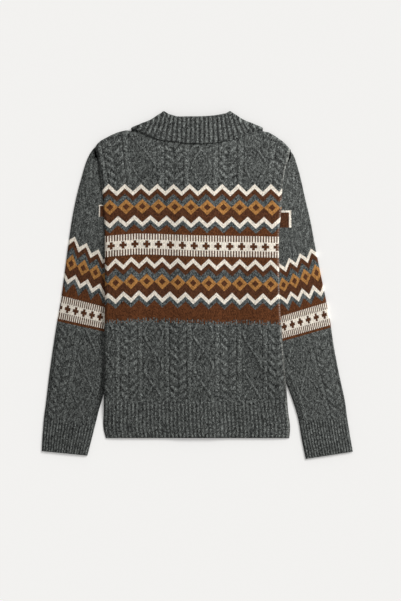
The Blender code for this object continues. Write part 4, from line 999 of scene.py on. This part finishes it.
def make_sleeve(side, name, material):
    shell = Shell()
    at, along = sleeve_stations(side)
    section = sleeve_sections(side, at)
    width = np.hypot(section[0] - section[2], section[1] - section[3])
    rolls = np.array(SLEEVE_ROLL_STEPS)[None, :] / width

    def skin(share, flat_z, **layers):
        x, y = on_section(side, section, share)
        from_fold = np.minimum(share, 1 - share) * width
        z = mix(tube_top(share) / 2, flat_z, dome(from_fold / FOLD_ROLL))
        return shell.grid(x, y, z, sleeve_knit(side, x, y), **layers)

    share = across_tube(rolls, UPPER_COLUMNS)
    x, y = on_section(side, section, share)
    relief, tone = sleeve_relief(side, x, y, share, width, at[:, None], along[:, None])
    upper = skin(share, tube_top(share) + relief, lower_knit=(x, y), tone=tone)
    shell.fill(upper)
    under = skin(across_tube(rolls, UNDER_COLUMNS)[:, 1:-1], 0.0, lower_knit=FAR_FROM_MARK)
    under = np.concatenate([upper[:, :1], under, upper[:, -1:]], axis=1)
    shell.fill(under)

    rows = np.linspace(0, len(at) - 1, len(at) // INNER_STRIDE).round().astype(int)
    inset = TUBE_INSET / width[rows]
    share = inset + np.linspace(0.0, 1.0, INSIDE_COLUMNS)[None, :] * (1 - 2 * inset)
    x, y = on_section(side, sleeve_sections(side, at[rows]), share)
    knit = sleeve_knit(side, x, y)
    over_inside, under_inside = (shell.grid(x, y, z, knit, FAR_FROM_MARK)
                                 for z in (tube_top(share) - WALL, WALL))
    shell.fill(over_inside)
    shell.fill(under_inside)
    for column in (0, -1):
        shell.fill(np.stack([over_inside[:, column], under_inside[:, column]]))
    for end in (0, -1):
        shell.zip(upper[end], over_inside[end])
        shell.zip(under[end], under_inside[end])
        for column in (0, -1):
            shell.triangles.append(np.array([(upper[end, column], over_inside[end, column],
                                              under_inside[end, column])]))
    return shell.make(name, material)


# -------------------- collar
RIB_SAMPLES = 10           # cuts to one rib of the solid
FALL_STEPS = 44            # steps from the fold to the free edge
END_COUNT = 40             # cuts through each end that lies under a front
STAND_PLACES = (0.0, 0.25, 0.5, 0.75, 1.0)
FOLD_PLACES = (0.25, 0.5, 0.75)
NO_LENGTH = 1e-9
FRONT_BEND_SHIFT = 2       # how fast the bend leaves the fall's edge on a front, per share
BACK_BEND_SHIFT = 5        # and how fast it leaves the fold on the back
EDGE_FADE_STEPS = 3        # steps over which the ribs run out at the free edge
RIB_STITCHES = 4           # stitches across one rib of the solid
COLLAR_ROW_STEP = 0.5      # rows of stitches to a step


def neck_seam_on_front(angle):
    """Point just inside the front neck's edge."""
    xs, ys = zip(*NECK_NODES)
    turn = math.radians(angle)
    return (float(np.interp(angle, NECK_ANGLES, xs)) - COLLAR_SEAM * math.sin(turn),
            float(np.interp(angle, NECK_ANGLES, ys)) + COLLAR_SEAM * math.cos(turn))


BACK_CUTS = columns_of(COLLAR_BACK, COLLAR_BACK_COLUMNS)
END_CUTS = columns_of(COLLAR_END, COLLAR_END_COLUMNS)


def collar_cut(share):
    """Seam, fold, turning point and edge of a cut through the collar, and its out direction."""
    mirrored = share > 0.5
    near = 1.0 - share if mirrored else share
    if near >= SHOULDER_SHARE:
        cut = {name: column(share) for name, column in BACK_CUTS.items()}
        seam = (cut["seam_x"], float(back_top(cut["seam_x"])) + 2 * SEAM)
        flip = 1.0
    else:
        cut = {name: column(near) for name, column in END_CUTS.items()}
        x, y = neck_seam_on_front(cut["seam_angle"])
        seam = (-x, y)
        flip = -1.0 if mirrored else 1.0
    lines = ("fold", "turn", "edge")
    points = [seam] + [(cut[f"{line}_x"], cut[f"{line}_y"]) for line in lines]
    points = [np.array((flip * float(x), float(y))) for x, y in points]
    out = np.array((END_TURN[0] if mirrored else -END_TURN[0], END_TURN[1]))
    return points, out


def bend_phase(past_turn):
    """Angle round the bend, from 0 to half a turn, by the distance past its middle."""
    return math.pi / 2 * (1.0 + min(max(past_turn / TURN_SPAN, -1.0), 1.0))


def collar_row(share):
    """Places, radii, phases and lengths along the strip at one cut."""
    (seam, fold, turn, edge), out = collar_cut(share)
    near = min(share, 1.0 - share)
    on_front = np.linalg.norm(turn - fold)
    length = on_front + np.linalg.norm(edge - turn)
    turn_at = on_front + length * (FRONT_BEND_SHIFT * max(-near, 0.0)
                                   - BACK_BEND_SHIFT * max(near - SHOULDER_SHARE, 0.0))
    up = (fold - seam) / np.linalg.norm(fold - seam)
    stand_phase = bend_phase((near - STAND_TURN_SHARE) * COLLAR_RIBS * 2 * TURN_SPAN)
    points = [(mix(seam, fold, t), STAND_OFFSET, stand_phase, -1.0) for t in STAND_PLACES]
    for turn_share in FOLD_PLACES:
        lean = -math.cos(math.pi * turn_share)
        points.append((fold, STAND_OFFSET + FOLD_RADIUS * (1.0 + lean),
                       mix(stand_phase, bend_phase(-turn_at), turn_share), lean))
    for step in range(FALL_STEPS + 1):
        along = length * step / FALL_STEPS
        if along < on_front:
            place = mix(fold, turn, along / on_front)
        else:
            place = mix(turn, edge, (along - on_front) / (length - on_front + NO_LENGTH))
        points.append((place, FALL_OFFSET, bend_phase(along - turn_at), 1.0))
    return points, up, out


def collar_skin(row, offset, relief):
    """One skin of the wall along one cut: offset is half the wall, with its sign."""
    points, up, out = row
    skin = []
    for i, (place, radius, phase, way) in enumerate(points):
        on_back = (1.0 - math.cos(phase)) / 2
        fading = min((len(points) - 1 - i) / EDGE_FADE_STEPS, 1.0)
        raised = relief * on_back ** 2 * fading if way == 1.0 else 0.0
        radius += way * (offset + raised)
        lift = (FOLD_RADIUS + offset) * math.sqrt(1.0 - way * way)
        spot = place + up * lift + out * radius * math.sin(phase)
        skin.append((spot[0], spot[1], COLLAR_MIDDLE_Z - radius * math.cos(phase)))
    return np.array(skin)


def make_collar(material):
    shell = Shell()
    ribbed = np.linspace(0.0, 1.0, COLLAR_RIBS * RIB_SAMPLES + 1)
    past = np.linspace(-1.0, 0.0, END_COUNT + 1)[:-1]
    shares = np.concatenate([past, ribbed, 1.0 - past[::-1]])
    ridges = rib_relief(COLLAR_RIDGES, shares)
    skins = [], []
    for share, ridge in zip(shares, ridges):
        row = collar_row(float(share))
        raised = ridge * COLLAR_RIB_HEIGHT if 0.0 <= share <= 1.0 else 0.0
        skins[0].append(collar_skin(row, COLLAR_WALL / 2, raised))
        skins[1].append(collar_skin(row, -COLLAR_WALL / 2, 0.0))
    stitch = (shares * COLLAR_RIBS * RIB_STITCHES)[:, None]
    row = (np.arange(len(skins[0][0])) * COLLAR_ROW_STEP)[None, :]
    # the ribs' heights also set the painted shade between the ribs and the painted highlight on
    # them
    show, hidden = (shell.grid(*np.moveaxis(np.array(skin), -1, 0), (stitch, row),
                               tone=ridges[:, None]) for skin in skins)
    shell.fill(show)
    shell.fill(hidden)
    shell.close(show, hidden)
    return shell.make("collar_cloth", material)


# -------------------- bands and buttons
BAND_COLUMNS, BAND_ROWS = 71, 180
BAND_RIBS = 5
BAND_FURROW = 0.5          # depth of its furrows
BAND_EDGE_FADE = 2.0
BAND_STITCH = 2.3
# painted shade in the furrows and painted highlight on the ridges of a band's ribs
BAND_SHADE_TONES = (0.25, 0.85)
BUTTONHOLE_HALF = 11.5     # half its length
BUTTONHOLE_WIDTH = 1.2
BUTTONHOLE_DEPTH = 0.9
BUTTONHOLE_END = 1.5       # length over which its ends close
THREAD_RADIUS = 0.38
THREAD_TURN = 0.7          # the width of a thread is square to the way it runs
THREAD_Z = 0.55            # height of its middle at the crossing
THREAD_CROSSING = 0.1      # how far two threads part there
THREAD_DIVE = 1.4          # how far a thread sinks into its holes
DIVE_POWER = 6             # and how suddenly
THREAD_RINGS, THREAD_SIDES = 9, 6


def make_band(name, level, has_holes, material):
    """A ribbed strip, with its ridges on the side away from the body."""
    shell = Shell()
    xs = np.linspace(-BAND_WIDTH / 2, BAND_WIDTH / 2, BAND_COLUMNS)
    ys = np.linspace(HEM_Y, BAND_TOP - SEAM, BAND_ROWS)
    x, y = np.meshgrid(xs, ys)
    edge = np.minimum(BAND_WIDTH / 2 - np.abs(x), np.minimum(y - ys[0], ys[-1] - y))
    ribs = rib_relief(BAND_RIBS, xs / BAND_WIDTH + 0.5)[None, :]
    furrow = BAND_FURROW * (1.0 - ribs) * ease(edge / BAND_EDGE_FADE)
    for height in BUTTON_HEIGHTS if has_holes else ():
        slit = hump(y - height, BUTTONHOLE_WIDTH)
        slit = slit * ease((BUTTONHOLE_HALF - np.abs(x)) / BUTTONHOLE_END)
        furrow = np.maximum(furrow, BUTTONHOLE_DEPTH * slit)
    knit = (x / BAND_STITCH, y / ROW)
    under = shell.grid(x, y, level + furrow, knit, tone=mix(*BAND_SHADE_TONES, ribs))
    over = shell.grid(x, y, level + BAND_WALL, knit)
    shell.fill(under)
    shell.fill(over)
    shell.close(under, over)
    return shell.make(name, material)


def make_threads(material):
    """Crossed sewing threads over the holes of each button."""
    shape = bmesh.new()
    reach = BUTTON_HOLE_OFFSET / math.sqrt(2)
    angles = np.linspace(0.0, 2 * math.pi, THREAD_SIDES + 1)[:-1]
    for height, slant in [(y, slant) for y in BUTTON_HEIGHTS for slant in (-1.0, 1.0)]:
        rings = []
        for t in np.linspace(-1.0, 1.0, THREAD_RINGS):
            z = THREAD_Z + THREAD_CROSSING * slant * (1 - t * t) + THREAD_DIVE * t ** DIVE_POWER
            middle = Vector((t * reach, height + slant * t * reach, z))
            ring = []
            for angle in angles:
                out = THREAD_TURN * math.cos(angle)
                spoke = Vector((-slant * out, out, math.sin(angle)))
                ring.append(shape.verts.new((middle + THREAD_RADIUS * spoke) * MM))
            rings.append(ring)
        for ring, next_ring in zip(rings, rings[1:]):
            for k, n in zip(range(THREAD_SIDES), (*range(1, THREAD_SIDES), 0)):
                shape.faces.new((ring[k], ring[n], next_ring[n], next_ring[k]))
        shape.faces.new(rings[0])
        shape.faces.new(rings[-1])
    mesh = bpy.data.meshes.new("button_threads")
    shape.to_mesh(mesh)
    shape.free()
    return add_piece("button_threads", mesh, material)


# -------------------- materials
SHEEN_ROUGHNESS = 0.6
WOOL_SPECULAR, HORN_SPECULAR = 0.12, 0.5
FLECK_SHARE, PLY_SHARE, FIBRE_SHARE = 0.26, 0.30, 0.44   # of a stitch, a strand and a fibre
BLEND_GAIN, BLEND_LOSS = 1.5, 0.38     # how their sum turns into the grey's paleness
FIBRE_SCALE, FIBRE_DETAIL = 1.7, 4.0
FIBRE_CONTRAST = 2.4
MOTTLE = 2.0               # how uneven a dark yarn is
MOTTLE_LOSS = 1.2          # and how much less so a pale one
FURROW_PAINTED_SHADE, RIDGE_PAINTED_HIGHLIGHT = 0.30, 1.27   # painted shade in a furrow and painted highlight on a ridge: how pale the knit is made there
# how strongly the pale line by the right side seam is painted: seam thread and painted
# highlight
SEAM_THREAD_SHOW = 0.4
SEAM_THREAD_LENGTH = 0.7   # of a stitch of it that shows
LOOP_DIP = 0.7             # how deep the knit is between two loops
FIBRE_RELIEF = 0.5
BUMP_DEPTH, BUMP_STRENGTH = 0.00045, 0.8
FRAY_SCALE = 0.6
HORN_STREAKS = (60.0, 260.0, 3.0)      # scales of the noise across and along, and its detail
THREAD_TWIST = (2500.0, 2500.0, 1.0)


class Nodes:
    """Short ways to build the shader of one material."""

    def __init__(self, name, roughness, sheen=0.0):
        self.material = bpy.data.materials.new(name)
        self.material.use_nodes = True
        self.tree = self.material.node_tree
        self.shader = self.tree.nodes["Principled BSDF"]
        self.shader.inputs["Roughness"].default_value = roughness
        self.shader.inputs["Sheen Weight"].default_value = sheen
        self.shader.inputs["Sheen Roughness"].default_value = SHEEN_ROUGHNESS
        specular = WOOL_SPECULAR if sheen else HORN_SPECULAR
        self.shader.inputs["Specular IOR Level"].default_value = specular

    def join(self, value, socket):
        if isinstance(value, bpy.types.NodeSocket):
            self.tree.links.new(value, socket)
        elif isinstance(value, tuple) and socket.type == "RGBA":
            socket.default_value = (*value, 1.0)
        else:
            socket.default_value = value

    def math(self, operation, *values):
        node = self.tree.nodes.new("ShaderNodeMath")
        node.operation = operation
        for socket, value in zip(node.inputs, values):
            self.join(value, socket)
        return node.outputs[0]

    def add(self, a, b):
        return self.math("ADD", a, b)

    def take(self, a, b):
        return self.math("SUBTRACT", a, b)

    def times(self, a, b):
        return self.math("MULTIPLY", a, b)

    def under(self, a, b):
        """1 where a is less than b, and 0 elsewhere."""
        return self.math("LESS_THAN", a, b)

    def odd(self, column):
        return self.math("MODULO", self.math("ABSOLUTE", column), 2.0)

    def paint(self, colour, new_colour, where):
        """One colour over another, where the last value is 1."""
        node = self.tree.nodes.new("ShaderNodeMix")
        node.data_type = "RGBA"
        self.join(where, node.inputs[0])
        self.join(colour, node.inputs[6])
        self.join(new_colour, node.inputs[7])
        return node.outputs[2]

    def split(self, vector):
        node = self.tree.nodes.new("ShaderNodeSeparateXYZ")
        self.tree.links.new(vector, node.inputs[0])
        return node.outputs[0], node.outputs[1]

    def coordinates(self, layer):
        node = self.tree.nodes.new("ShaderNodeUVMap")
        node.uv_map = layer
        return self.split(node.outputs[0])

    def vector(self, x, y):
        node = self.tree.nodes.new("ShaderNodeCombineXYZ")
        self.join(x, node.inputs[0])
        self.join(y, node.inputs[1])
        return node.outputs[0]

    def white_noise(self, x, y):
        node = self.tree.nodes.new("ShaderNodeTexWhiteNoise")
        node.noise_dimensions = "2D"
        self.tree.links.new(self.vector(x, y), node.inputs["Vector"])
        return node.outputs["Value"]

    def noise(self, x, y, scale, detail):
        node = self.tree.nodes.new("ShaderNodeTexNoise")
        node.noise_dimensions = "2D"
        self.tree.links.new(self.vector(x, y), node.inputs["Vector"])
        node.inputs["Scale"].default_value = scale
        node.inputs["Detail"].default_value = detail
        return node.outputs["Fac"]

    def object_noise(self, x_scale, y_scale, detail):
        """Noise over the object's own x and y, in metres."""
        x, y = self.split(self.tree.nodes.new("ShaderNodeTexCoord").outputs["Object"])
        return self.noise(self.times(x, x_scale), self.times(y, y_scale), 1.0, detail)

    def bump(self, height):
        node = self.tree.nodes.new("ShaderNodeBump")
        node.inputs["Distance"].default_value = BUMP_DEPTH
        node.inputs["Strength"].default_value = BUMP_STRENGTH
        self.tree.links.new(height, node.inputs["Height"])
        self.tree.links.new(node.outputs["Normal"], self.shader.inputs["Normal"])

    def finish(self, colour):
        self.join(colour, self.shader.inputs["Base Color"])
        return self.material


class Stitches:
    """Which stitch a point is on, and where on it."""

    LEAN = 0.9             # how much higher a stitch's shoulders are than its point, in rows

    def __init__(self, nodes, stitch, row):
        self.across = stitch
        self.column = nodes.math("FLOOR", stitch)
        self.from_middle = nodes.math("ABSOLUTE", nodes.take(nodes.math("FRACT", stitch), 0.5))
        self.lifted = nodes.take(row, nodes.times(self.from_middle, self.LEAN))
        self.row = nodes.math("FLOOR", self.lifted)


def triangle_wave(nodes, across):
    """1 over the middle of a diamond and -1 between two of them."""
    repeat = nodes.math("DIVIDE", across, STITCHES)
    fold = nodes.take(nodes.math("FRACT", nodes.add(repeat, 0.5)), 0.5)
    return nodes.take(1.0, nodes.times(nodes.math("ABSOLUTE", fold), 4.0))


def zigzag_rows(nodes, colour, wave, height, centre, reach, steps):
    """Paints zigzag bands downward: a step is a colour and how far under the line it starts."""
    away = nodes.take(height, nodes.add(nodes.times(wave, reach), centre))
    for new_colour, below in steps:
        colour = nodes.paint(colour, new_colour, nodes.under(away, -below))
    return colour


def diamonds(nodes, colour, wave, height, centre):
    """Paints brown from the middle of a row down, and gold diamonds with a dark heart."""
    colour = nodes.paint(colour, BROWN, nodes.under(height, centre))
    out = nodes.times(nodes.take(1.0, wave), 0.5)
    up = nodes.math("ABSOLUTE", nodes.take(height, centre))
    away = nodes.add(out, nodes.math("DIVIDE", up, DIAMOND_HALF))
    colour = nodes.paint(colour, GOLD, nodes.under(away, 1.0))
    return nodes.paint(colour, BROWN, nodes.under(away, DIAMOND_HEART))


def dashes(nodes, colour, column, height, top):
    """Paints alternate stitches pale and brown, from a height downward."""
    pair = nodes.paint(IVORY, BROWN, nodes.under(0.5, nodes.odd(column)))
    return nodes.paint(colour, pair, nodes.under(height, top))


def crosses(nodes, colour, across, height, crossing):
    """Paints crosses on the pale row."""
    first, distance = crossing
    phase = nodes.math("DIVIDE", nodes.take(across, first), distance)
    fold = nodes.take(nodes.math("FRACT", nodes.add(phase, 0.5)), 0.5)
    out = nodes.times(nodes.math("ABSOLUTE", fold), distance * STITCH_WIDTH)
    up = nodes.math("ABSOLUTE", nodes.take(height, CROSS_Y))
    tall = nodes.times(nodes.under(out, CROSS_HALF), nodes.under(up, CROSS_REACH))
    wide = nodes.times(nodes.under(out, CROSS_REACH), nodes.under(up, CROSS_HALF))
    return nodes.paint(colour, BROWN, nodes.math("MAXIMUM", tall, wide))


def patterned(nodes, grey, blue, upper, lower, height, crossing):
    """The patterned band: all of it, or where there is no lower set only its first half."""
    falling = ((IVORY, -LINE_HALF), (BROWN, LINE_HALF), (blue, UNDER_LINE))
    rising = ((IVORY, -LINE_HALF), (blue, LINE_HALF), (RUST, UNDER_LOW_LINE))
    wave = triangle_wave(nodes, nodes.add(upper.across, Z1_SHIFT))
    colour = zigzag_rows(nodes, grey, wave, height, Z1_CENTRE, Z1_REACH, falling)
    wave = triangle_wave(nodes, upper.across)
    colour = diamonds(nodes, colour, wave, height, UPPER_DIAMONDS)
    colour = zigzag_rows(nodes, colour, wave, height, Z2_CENTRE, -Z_REACH, rising)
    colour = dashes(nodes, colour, upper.column, height, DASH_TOP)
    colour = nodes.paint(colour, IVORY, nodes.under(height, DASH_BOTTOM))
    colour = crosses(nodes, colour, upper.across, height, crossing)
    colour = dashes(nodes, colour, upper.column, height, LOW_DASH_TOP)
    colour = nodes.paint(colour, RUST, nodes.under(height, LOW_DASH_BOTTOM))
    if lower is None:
        return nodes.paint(colour, grey, nodes.under(height, BAND_LINE_BOTTOM))
    wave = triangle_wave(nodes, lower.across)
    colour = zigzag_rows(nodes, colour, wave, height, Z3_CENTRE, Z_REACH, falling)
    colour = diamonds(nodes, colour, wave, height, LOWER_DIAMONDS)
    colour = zigzag_rows(nodes, colour, wave, height, Z4_CENTRE, -Z_REACH, rising)
    fading = nodes.math("DIVIDE", nodes.take(SOLID_BOTTOM, height), SOLID_BOTTOM - MIXED_BOTTOM)
    uneven = nodes.times(nodes.take(nodes.odd(lower.column), 0.5), 0.5)
    chance = nodes.white_noise(nodes.add(lower.column, 0.5), lower.row)
    bare = nodes.under(chance, nodes.add(fading, uneven))
    bare = nodes.times(bare, nodes.under(height, SOLID_BOTTOM))
    colour = nodes.paint(colour, grey, bare)
    return nodes.paint(colour, grey, nodes.under(height, MIXED_BOTTOM))


def motif(nodes, colour, near, far, bottom, top, line_width):
    """A small brown mark by the body, with a pale line along its top and its far side."""
    x, y = nodes.coordinates("knit_lower")
    way = 1.0 if far > near else -1.0
    out = nodes.times(nodes.take(x, near), way)
    room = nodes.math("MINIMUM", nodes.take(top, y), nodes.take(abs(far - near), out))
    body = nodes.math("MINIMUM", out, nodes.take(y, bottom))
    ragged = nodes.times(nodes.noise(x, y, FRAY_SCALE, 1.0), MOTIF_FRAY)
    inside = nodes.under(ragged, nodes.add(nodes.math("MINIMUM", room, body), MOTIF_FRAY / 2))
    colour = nodes.paint(colour, BROWN, inside)
    line = nodes.times(inside, nodes.under(room, line_width))
    return nodes.paint(colour, IVORY, line)


def knit_material(name, crossing=None, both_sets=False, mark=None):
    """Grey knit of mixed fibres, with the patterned band where it has crosses."""
    nodes = Nodes(name, roughness=0.95, sheen=0.03)
    stitch, row = nodes.coordinates("knit")
    seen = stitch
    if both_sets:
        lower_stitch, _ = nodes.coordinates("knit_lower")
        below = nodes.under(row, SWITCH_Y / ROW)
        seen = nodes.add(nodes.times(stitch, nodes.take(1.0, below)),
                         nodes.times(lower_stitch, below))
    at = Stitches(nodes, seen, row)
    fleck = nodes.white_noise(at.column, at.row)
    fibre = nodes.noise(stitch, row, FIBRE_SCALE, FIBRE_DETAIL)
    fibre = nodes.math("MULTIPLY_ADD", nodes.take(fibre, 0.5), FIBRE_CONTRAST, 0.5)
    half_stitch = nodes.math("FLOOR", nodes.times(seen, 2.0))
    ply = nodes.white_noise(nodes.add(half_stitch, 0.5), nodes.add(at.row, 0.25))
    blend = nodes.add(nodes.times(fleck, FLECK_SHARE), nodes.times(ply, PLY_SHARE))
    blend = nodes.add(blend, nodes.times(fibre, FIBRE_SHARE))
    blend = nodes.take(nodes.times(blend, BLEND_GAIN), BLEND_LOSS)
    grey = nodes.paint(GREY_DARK, GREY_LIGHT, blend)
    colour = grey
    if crossing:
        blue = nodes.paint(BLUE_DARK, BLUE_LIGHT, blend)
        height = nodes.times(nodes.add(at.lifted, Stitches.LEAN / 4), ROW)
        lower = Stitches(nodes, lower_stitch, row) if both_sets else None
        upper = Stitches(nodes, stitch, row)
        colour = patterned(nodes, grey, blue, upper, lower, height, crossing)
    if mark:
        colour = motif(nodes, colour, *mark)
    # the relief layer carries how high the knit lies, which paints shade and highlight, and the
    # mask of the pale seam line
    tone, seam = nodes.coordinates("relief")
    # a pale stitched line along the right side seam: seam thread, and painted highlight where
    # that edge catches the light
    stitched = nodes.under(nodes.math("FRACT", nodes.times(row, 0.5)), SEAM_THREAD_LENGTH)
    seam_thread_and_highlight = nodes.times(nodes.times(seam, stitched), SEAM_THREAD_SHOW)
    colour = nodes.paint(colour, SEAM_THREAD_AND_HIGHLIGHT, seam_thread_and_highlight)

    uneven = nodes.times(nodes.add(nodes.add(fleck, ply), fibre), 1 / 3)
    channels = nodes.tree.nodes.new("ShaderNodeSeparateColor")
    nodes.join(colour, channels.inputs[0])
    mottle = nodes.take(MOTTLE, nodes.times(channels.outputs[0], MOTTLE_LOSS))
    shade = nodes.add(1.0, nodes.times(nodes.take(uneven, 0.5), mottle))
    # painted shade and highlight: the knit is darkened in its furrows and lightened on its
    # ridges by how high it lies
    painted_relief_shade = nodes.add(FURROW_PAINTED_SHADE, nodes.times(tone, RIDGE_PAINTED_HIGHLIGHT - FURROW_PAINTED_SHADE))
    shaded = nodes.tree.nodes.new("ShaderNodeVectorMath")
    shaded.operation = "SCALE"
    nodes.join(colour, shaded.inputs[0])
    nodes.join(nodes.times(shade, painted_relief_shade), shaded.inputs["Scale"])

    leg = nodes.times(nodes.take(at.from_middle, 0.25), 4.0)
    leg_round = nodes.take(1.0, nodes.times(leg, leg))
    loop = nodes.times(nodes.take(nodes.math("FRACT", at.lifted), 0.5), 2.0)
    loop_round = nodes.take(1.0, nodes.times(nodes.times(loop, loop), LOOP_DIP))
    nodes.bump(nodes.add(nodes.times(leg_round, loop_round), nodes.times(fibre, FIBRE_RELIEF)))
    return nodes.finish(shaded.outputs[0])


def horn_material(name):
    """Dark polished horn with soft paler streaks."""
    nodes = Nodes(name, roughness=0.32)
    streak = nodes.take(nodes.times(nodes.object_noise(*HORN_STREAKS), 2.0), 0.75)
    return nodes.finish(nodes.paint(HORN, HORN_STREAK, streak))


def thread_material(name):
    nodes = Nodes(name, roughness=0.85, sheen=0.1)
    twist = nodes.object_noise(*THREAD_TWIST)
    return nodes.finish(nodes.paint(GREY_DARK, GREY_LIGHT, twist))


# -------------------- the pieces
SIDES = ((-1, "left"), (1, "right"))
SHEETS = (
    # node, slot, flat size, area that shows in square metres, what it rests on
    ("back", "back_knit", (0.38, 0.61), 0.222, "front_left_cloth"),
    ("collar", "collar_rib", (0.50, 0.11), 0.045, "floor"),
    ("sleeve_left", "sleeve_left_knit", (0.28, 0.61), 0.145, "floor"),
    ("front_left", "front_left_knit", (0.17, 0.60), 0.092, "floor"),
    ("button_band_left", "button_band_left_rib", (0.036, 0.54), 0.0188, "floor"),
    ("sleeve_right", "sleeve_right_knit", (0.28, 0.61), 0.145, "floor"),
    ("front_right", "front_right_knit", (0.17, 0.60), 0.092, "floor"),
    ("button_band_right", "button_band_right_rib", (0.036, 0.54), 0.0188, "floor"),
)
SLEEVE_MARKS = {-1: (LEFT_CROSSES, LEFT_MOTIF), 1: (RIGHT_CROSSES, RIGHT_MOTIF)}
BAND_LEVELS = {-1: BUTTON_BAND_Z, 1: BUTTONHOLE_BAND_Z}


def build_pieces():
    pieces = {"back": make_back(knit_material("back_wool", BODY_CROSSES, True))}
    for side, word in SIDES:
        crossing, mark = SLEEVE_MARKS[side]
        wool = knit_material(f"sleeve_{word}_wool", crossing, mark=mark)
        pieces[f"sleeve_{word}"] = make_sleeve(side, f"sleeve_{word}_cloth", wool)
    for side, word in SIDES:
        wool = knit_material(f"front_{word}_wool", BODY_CROSSES, True)
        pieces[f"front_{word}"] = make_front(side, f"front_{word}_cloth", wool)
    pieces["collar"] = make_collar(knit_material("collar_wool"))
    for side, word in SIDES:
        wool = knit_material(f"button_band_{word}_wool")
        pieces[f"button_band_{word}"] = make_band(f"button_band_{word}_cloth",
                                                  BAND_LEVELS[side], side > 0, wool)
    for node, slot, flat, area, support in SHEETS:
        piece = pieces[node]
        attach(piece, "root")
        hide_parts(node)

    threads = make_threads(thread_material("button_thread"))
    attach(threads, "root")
    horn = horn_material("button_horn_polished")
    for number in range(1, len(BUTTON_HEIGHTS) + 1):
        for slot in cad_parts[f"button_{number}"].material_slots:
            slot.material = horn


# -------------------- floor, light and camera
VIEW_CENTRE = (0.0068, -0.0293)
VIEW_HEIGHT = 1.172
CAMERA_HEIGHT = 6.0
SENSOR = 36.0
FAR_CLIP = 50.0
FLOOR_SIZE = 12.0
WHITE = (1.0, 1.0, 1.0)
AMBIENT = 0.36
FLOOR_GLOW = 0.24          # the floor's own light, as it is outside the key light's reach
KEY_PLACE = (1.30, 0.90, 0.75)
KEY_TARGET = (0.0, 0.05, 0.0)
KEY_SIZE = 0.45
KEY_POWER = 37.0
SUN_POWER = 1.63           # of the light that casts the soft shadow on the floor
SUN_ANGLE = math.radians(26.0)
SUN_ELEVATION = math.radians(50.0)
SUN_TURN = math.radians(45.0)


def add_light(name, kind, power, lit):
    """A light that reaches only the things given."""
    lamp = bpy.data.lights.new(name, kind)
    lamp.energy = power
    light = add_object(name, lamp)
    light.light_linking.receiver_collection = bpy.data.collections.new(f"lit_by_{name}")
    for thing in lit:
        light.light_linking.receiver_collection.objects.link(thing)
    return light


def make_floor():
    bpy.ops.mesh.primitive_plane_add(size=FLOOR_SIZE, location=(0.0, 0.0, 0.0))
    floor = bpy.context.active_object
    floor.name = "floor"
    material = bpy.data.materials.new("pale_floor")
    material.use_nodes = True
    shader = material.node_tree.nodes["Principled BSDF"]
    shader.inputs["Base Color"].default_value = (*FLOOR, 1.0)
    shader.inputs["Roughness"].default_value = 1.0
    shader.inputs["Specular IOR Level"].default_value = 0.0
    shader.inputs["Emission Color"].default_value = (*FLOOR, 1.0)
    shader.inputs["Emission Strength"].default_value = FLOOR_GLOW
    floor.data.materials.append(material)
    return floor


def make_stage():
    floor = make_floor()
    world = bpy.data.worlds.new("studio")
    bpy.context.scene.world = world
    world.use_nodes = True
    background = world.node_tree.nodes["Background"]
    background.inputs["Color"].default_value = (*WHITE, 1.0)
    background.inputs["Strength"].default_value = AMBIENT

    pieces = [thing for thing in bpy.context.scene.objects
              if thing.type == "MESH" and thing is not floor]
    key = add_light("key", "AREA", KEY_POWER, pieces)
    key.data.size = KEY_SIZE
    key.location = KEY_PLACE
    toward = Vector(KEY_TARGET) - Vector(KEY_PLACE)
    key.rotation_euler = toward.to_track_quat("-Z", "Y").to_euler()
    sun = add_light("sun", "SUN", SUN_POWER, [floor])
    sun.data.angle = SUN_ANGLE
    sun.rotation_euler = (math.pi / 2 - SUN_ELEVATION, 0.0, math.pi / 2 + SUN_TURN)

    lens = bpy.data.cameras.new("camera")
    lens.sensor_width = SENSOR
    lens.lens = SENSOR * CAMERA_HEIGHT / VIEW_HEIGHT
    lens.clip_end = FAR_CLIP
    camera = add_object("camera", lens)
    camera.location = (*VIEW_CENTRE, CAMERA_HEIGHT)
    bpy.context.scene.camera = camera
    bpy.context.scene.view_settings.view_transform = "Standard"


build_pieces()
make_stage()
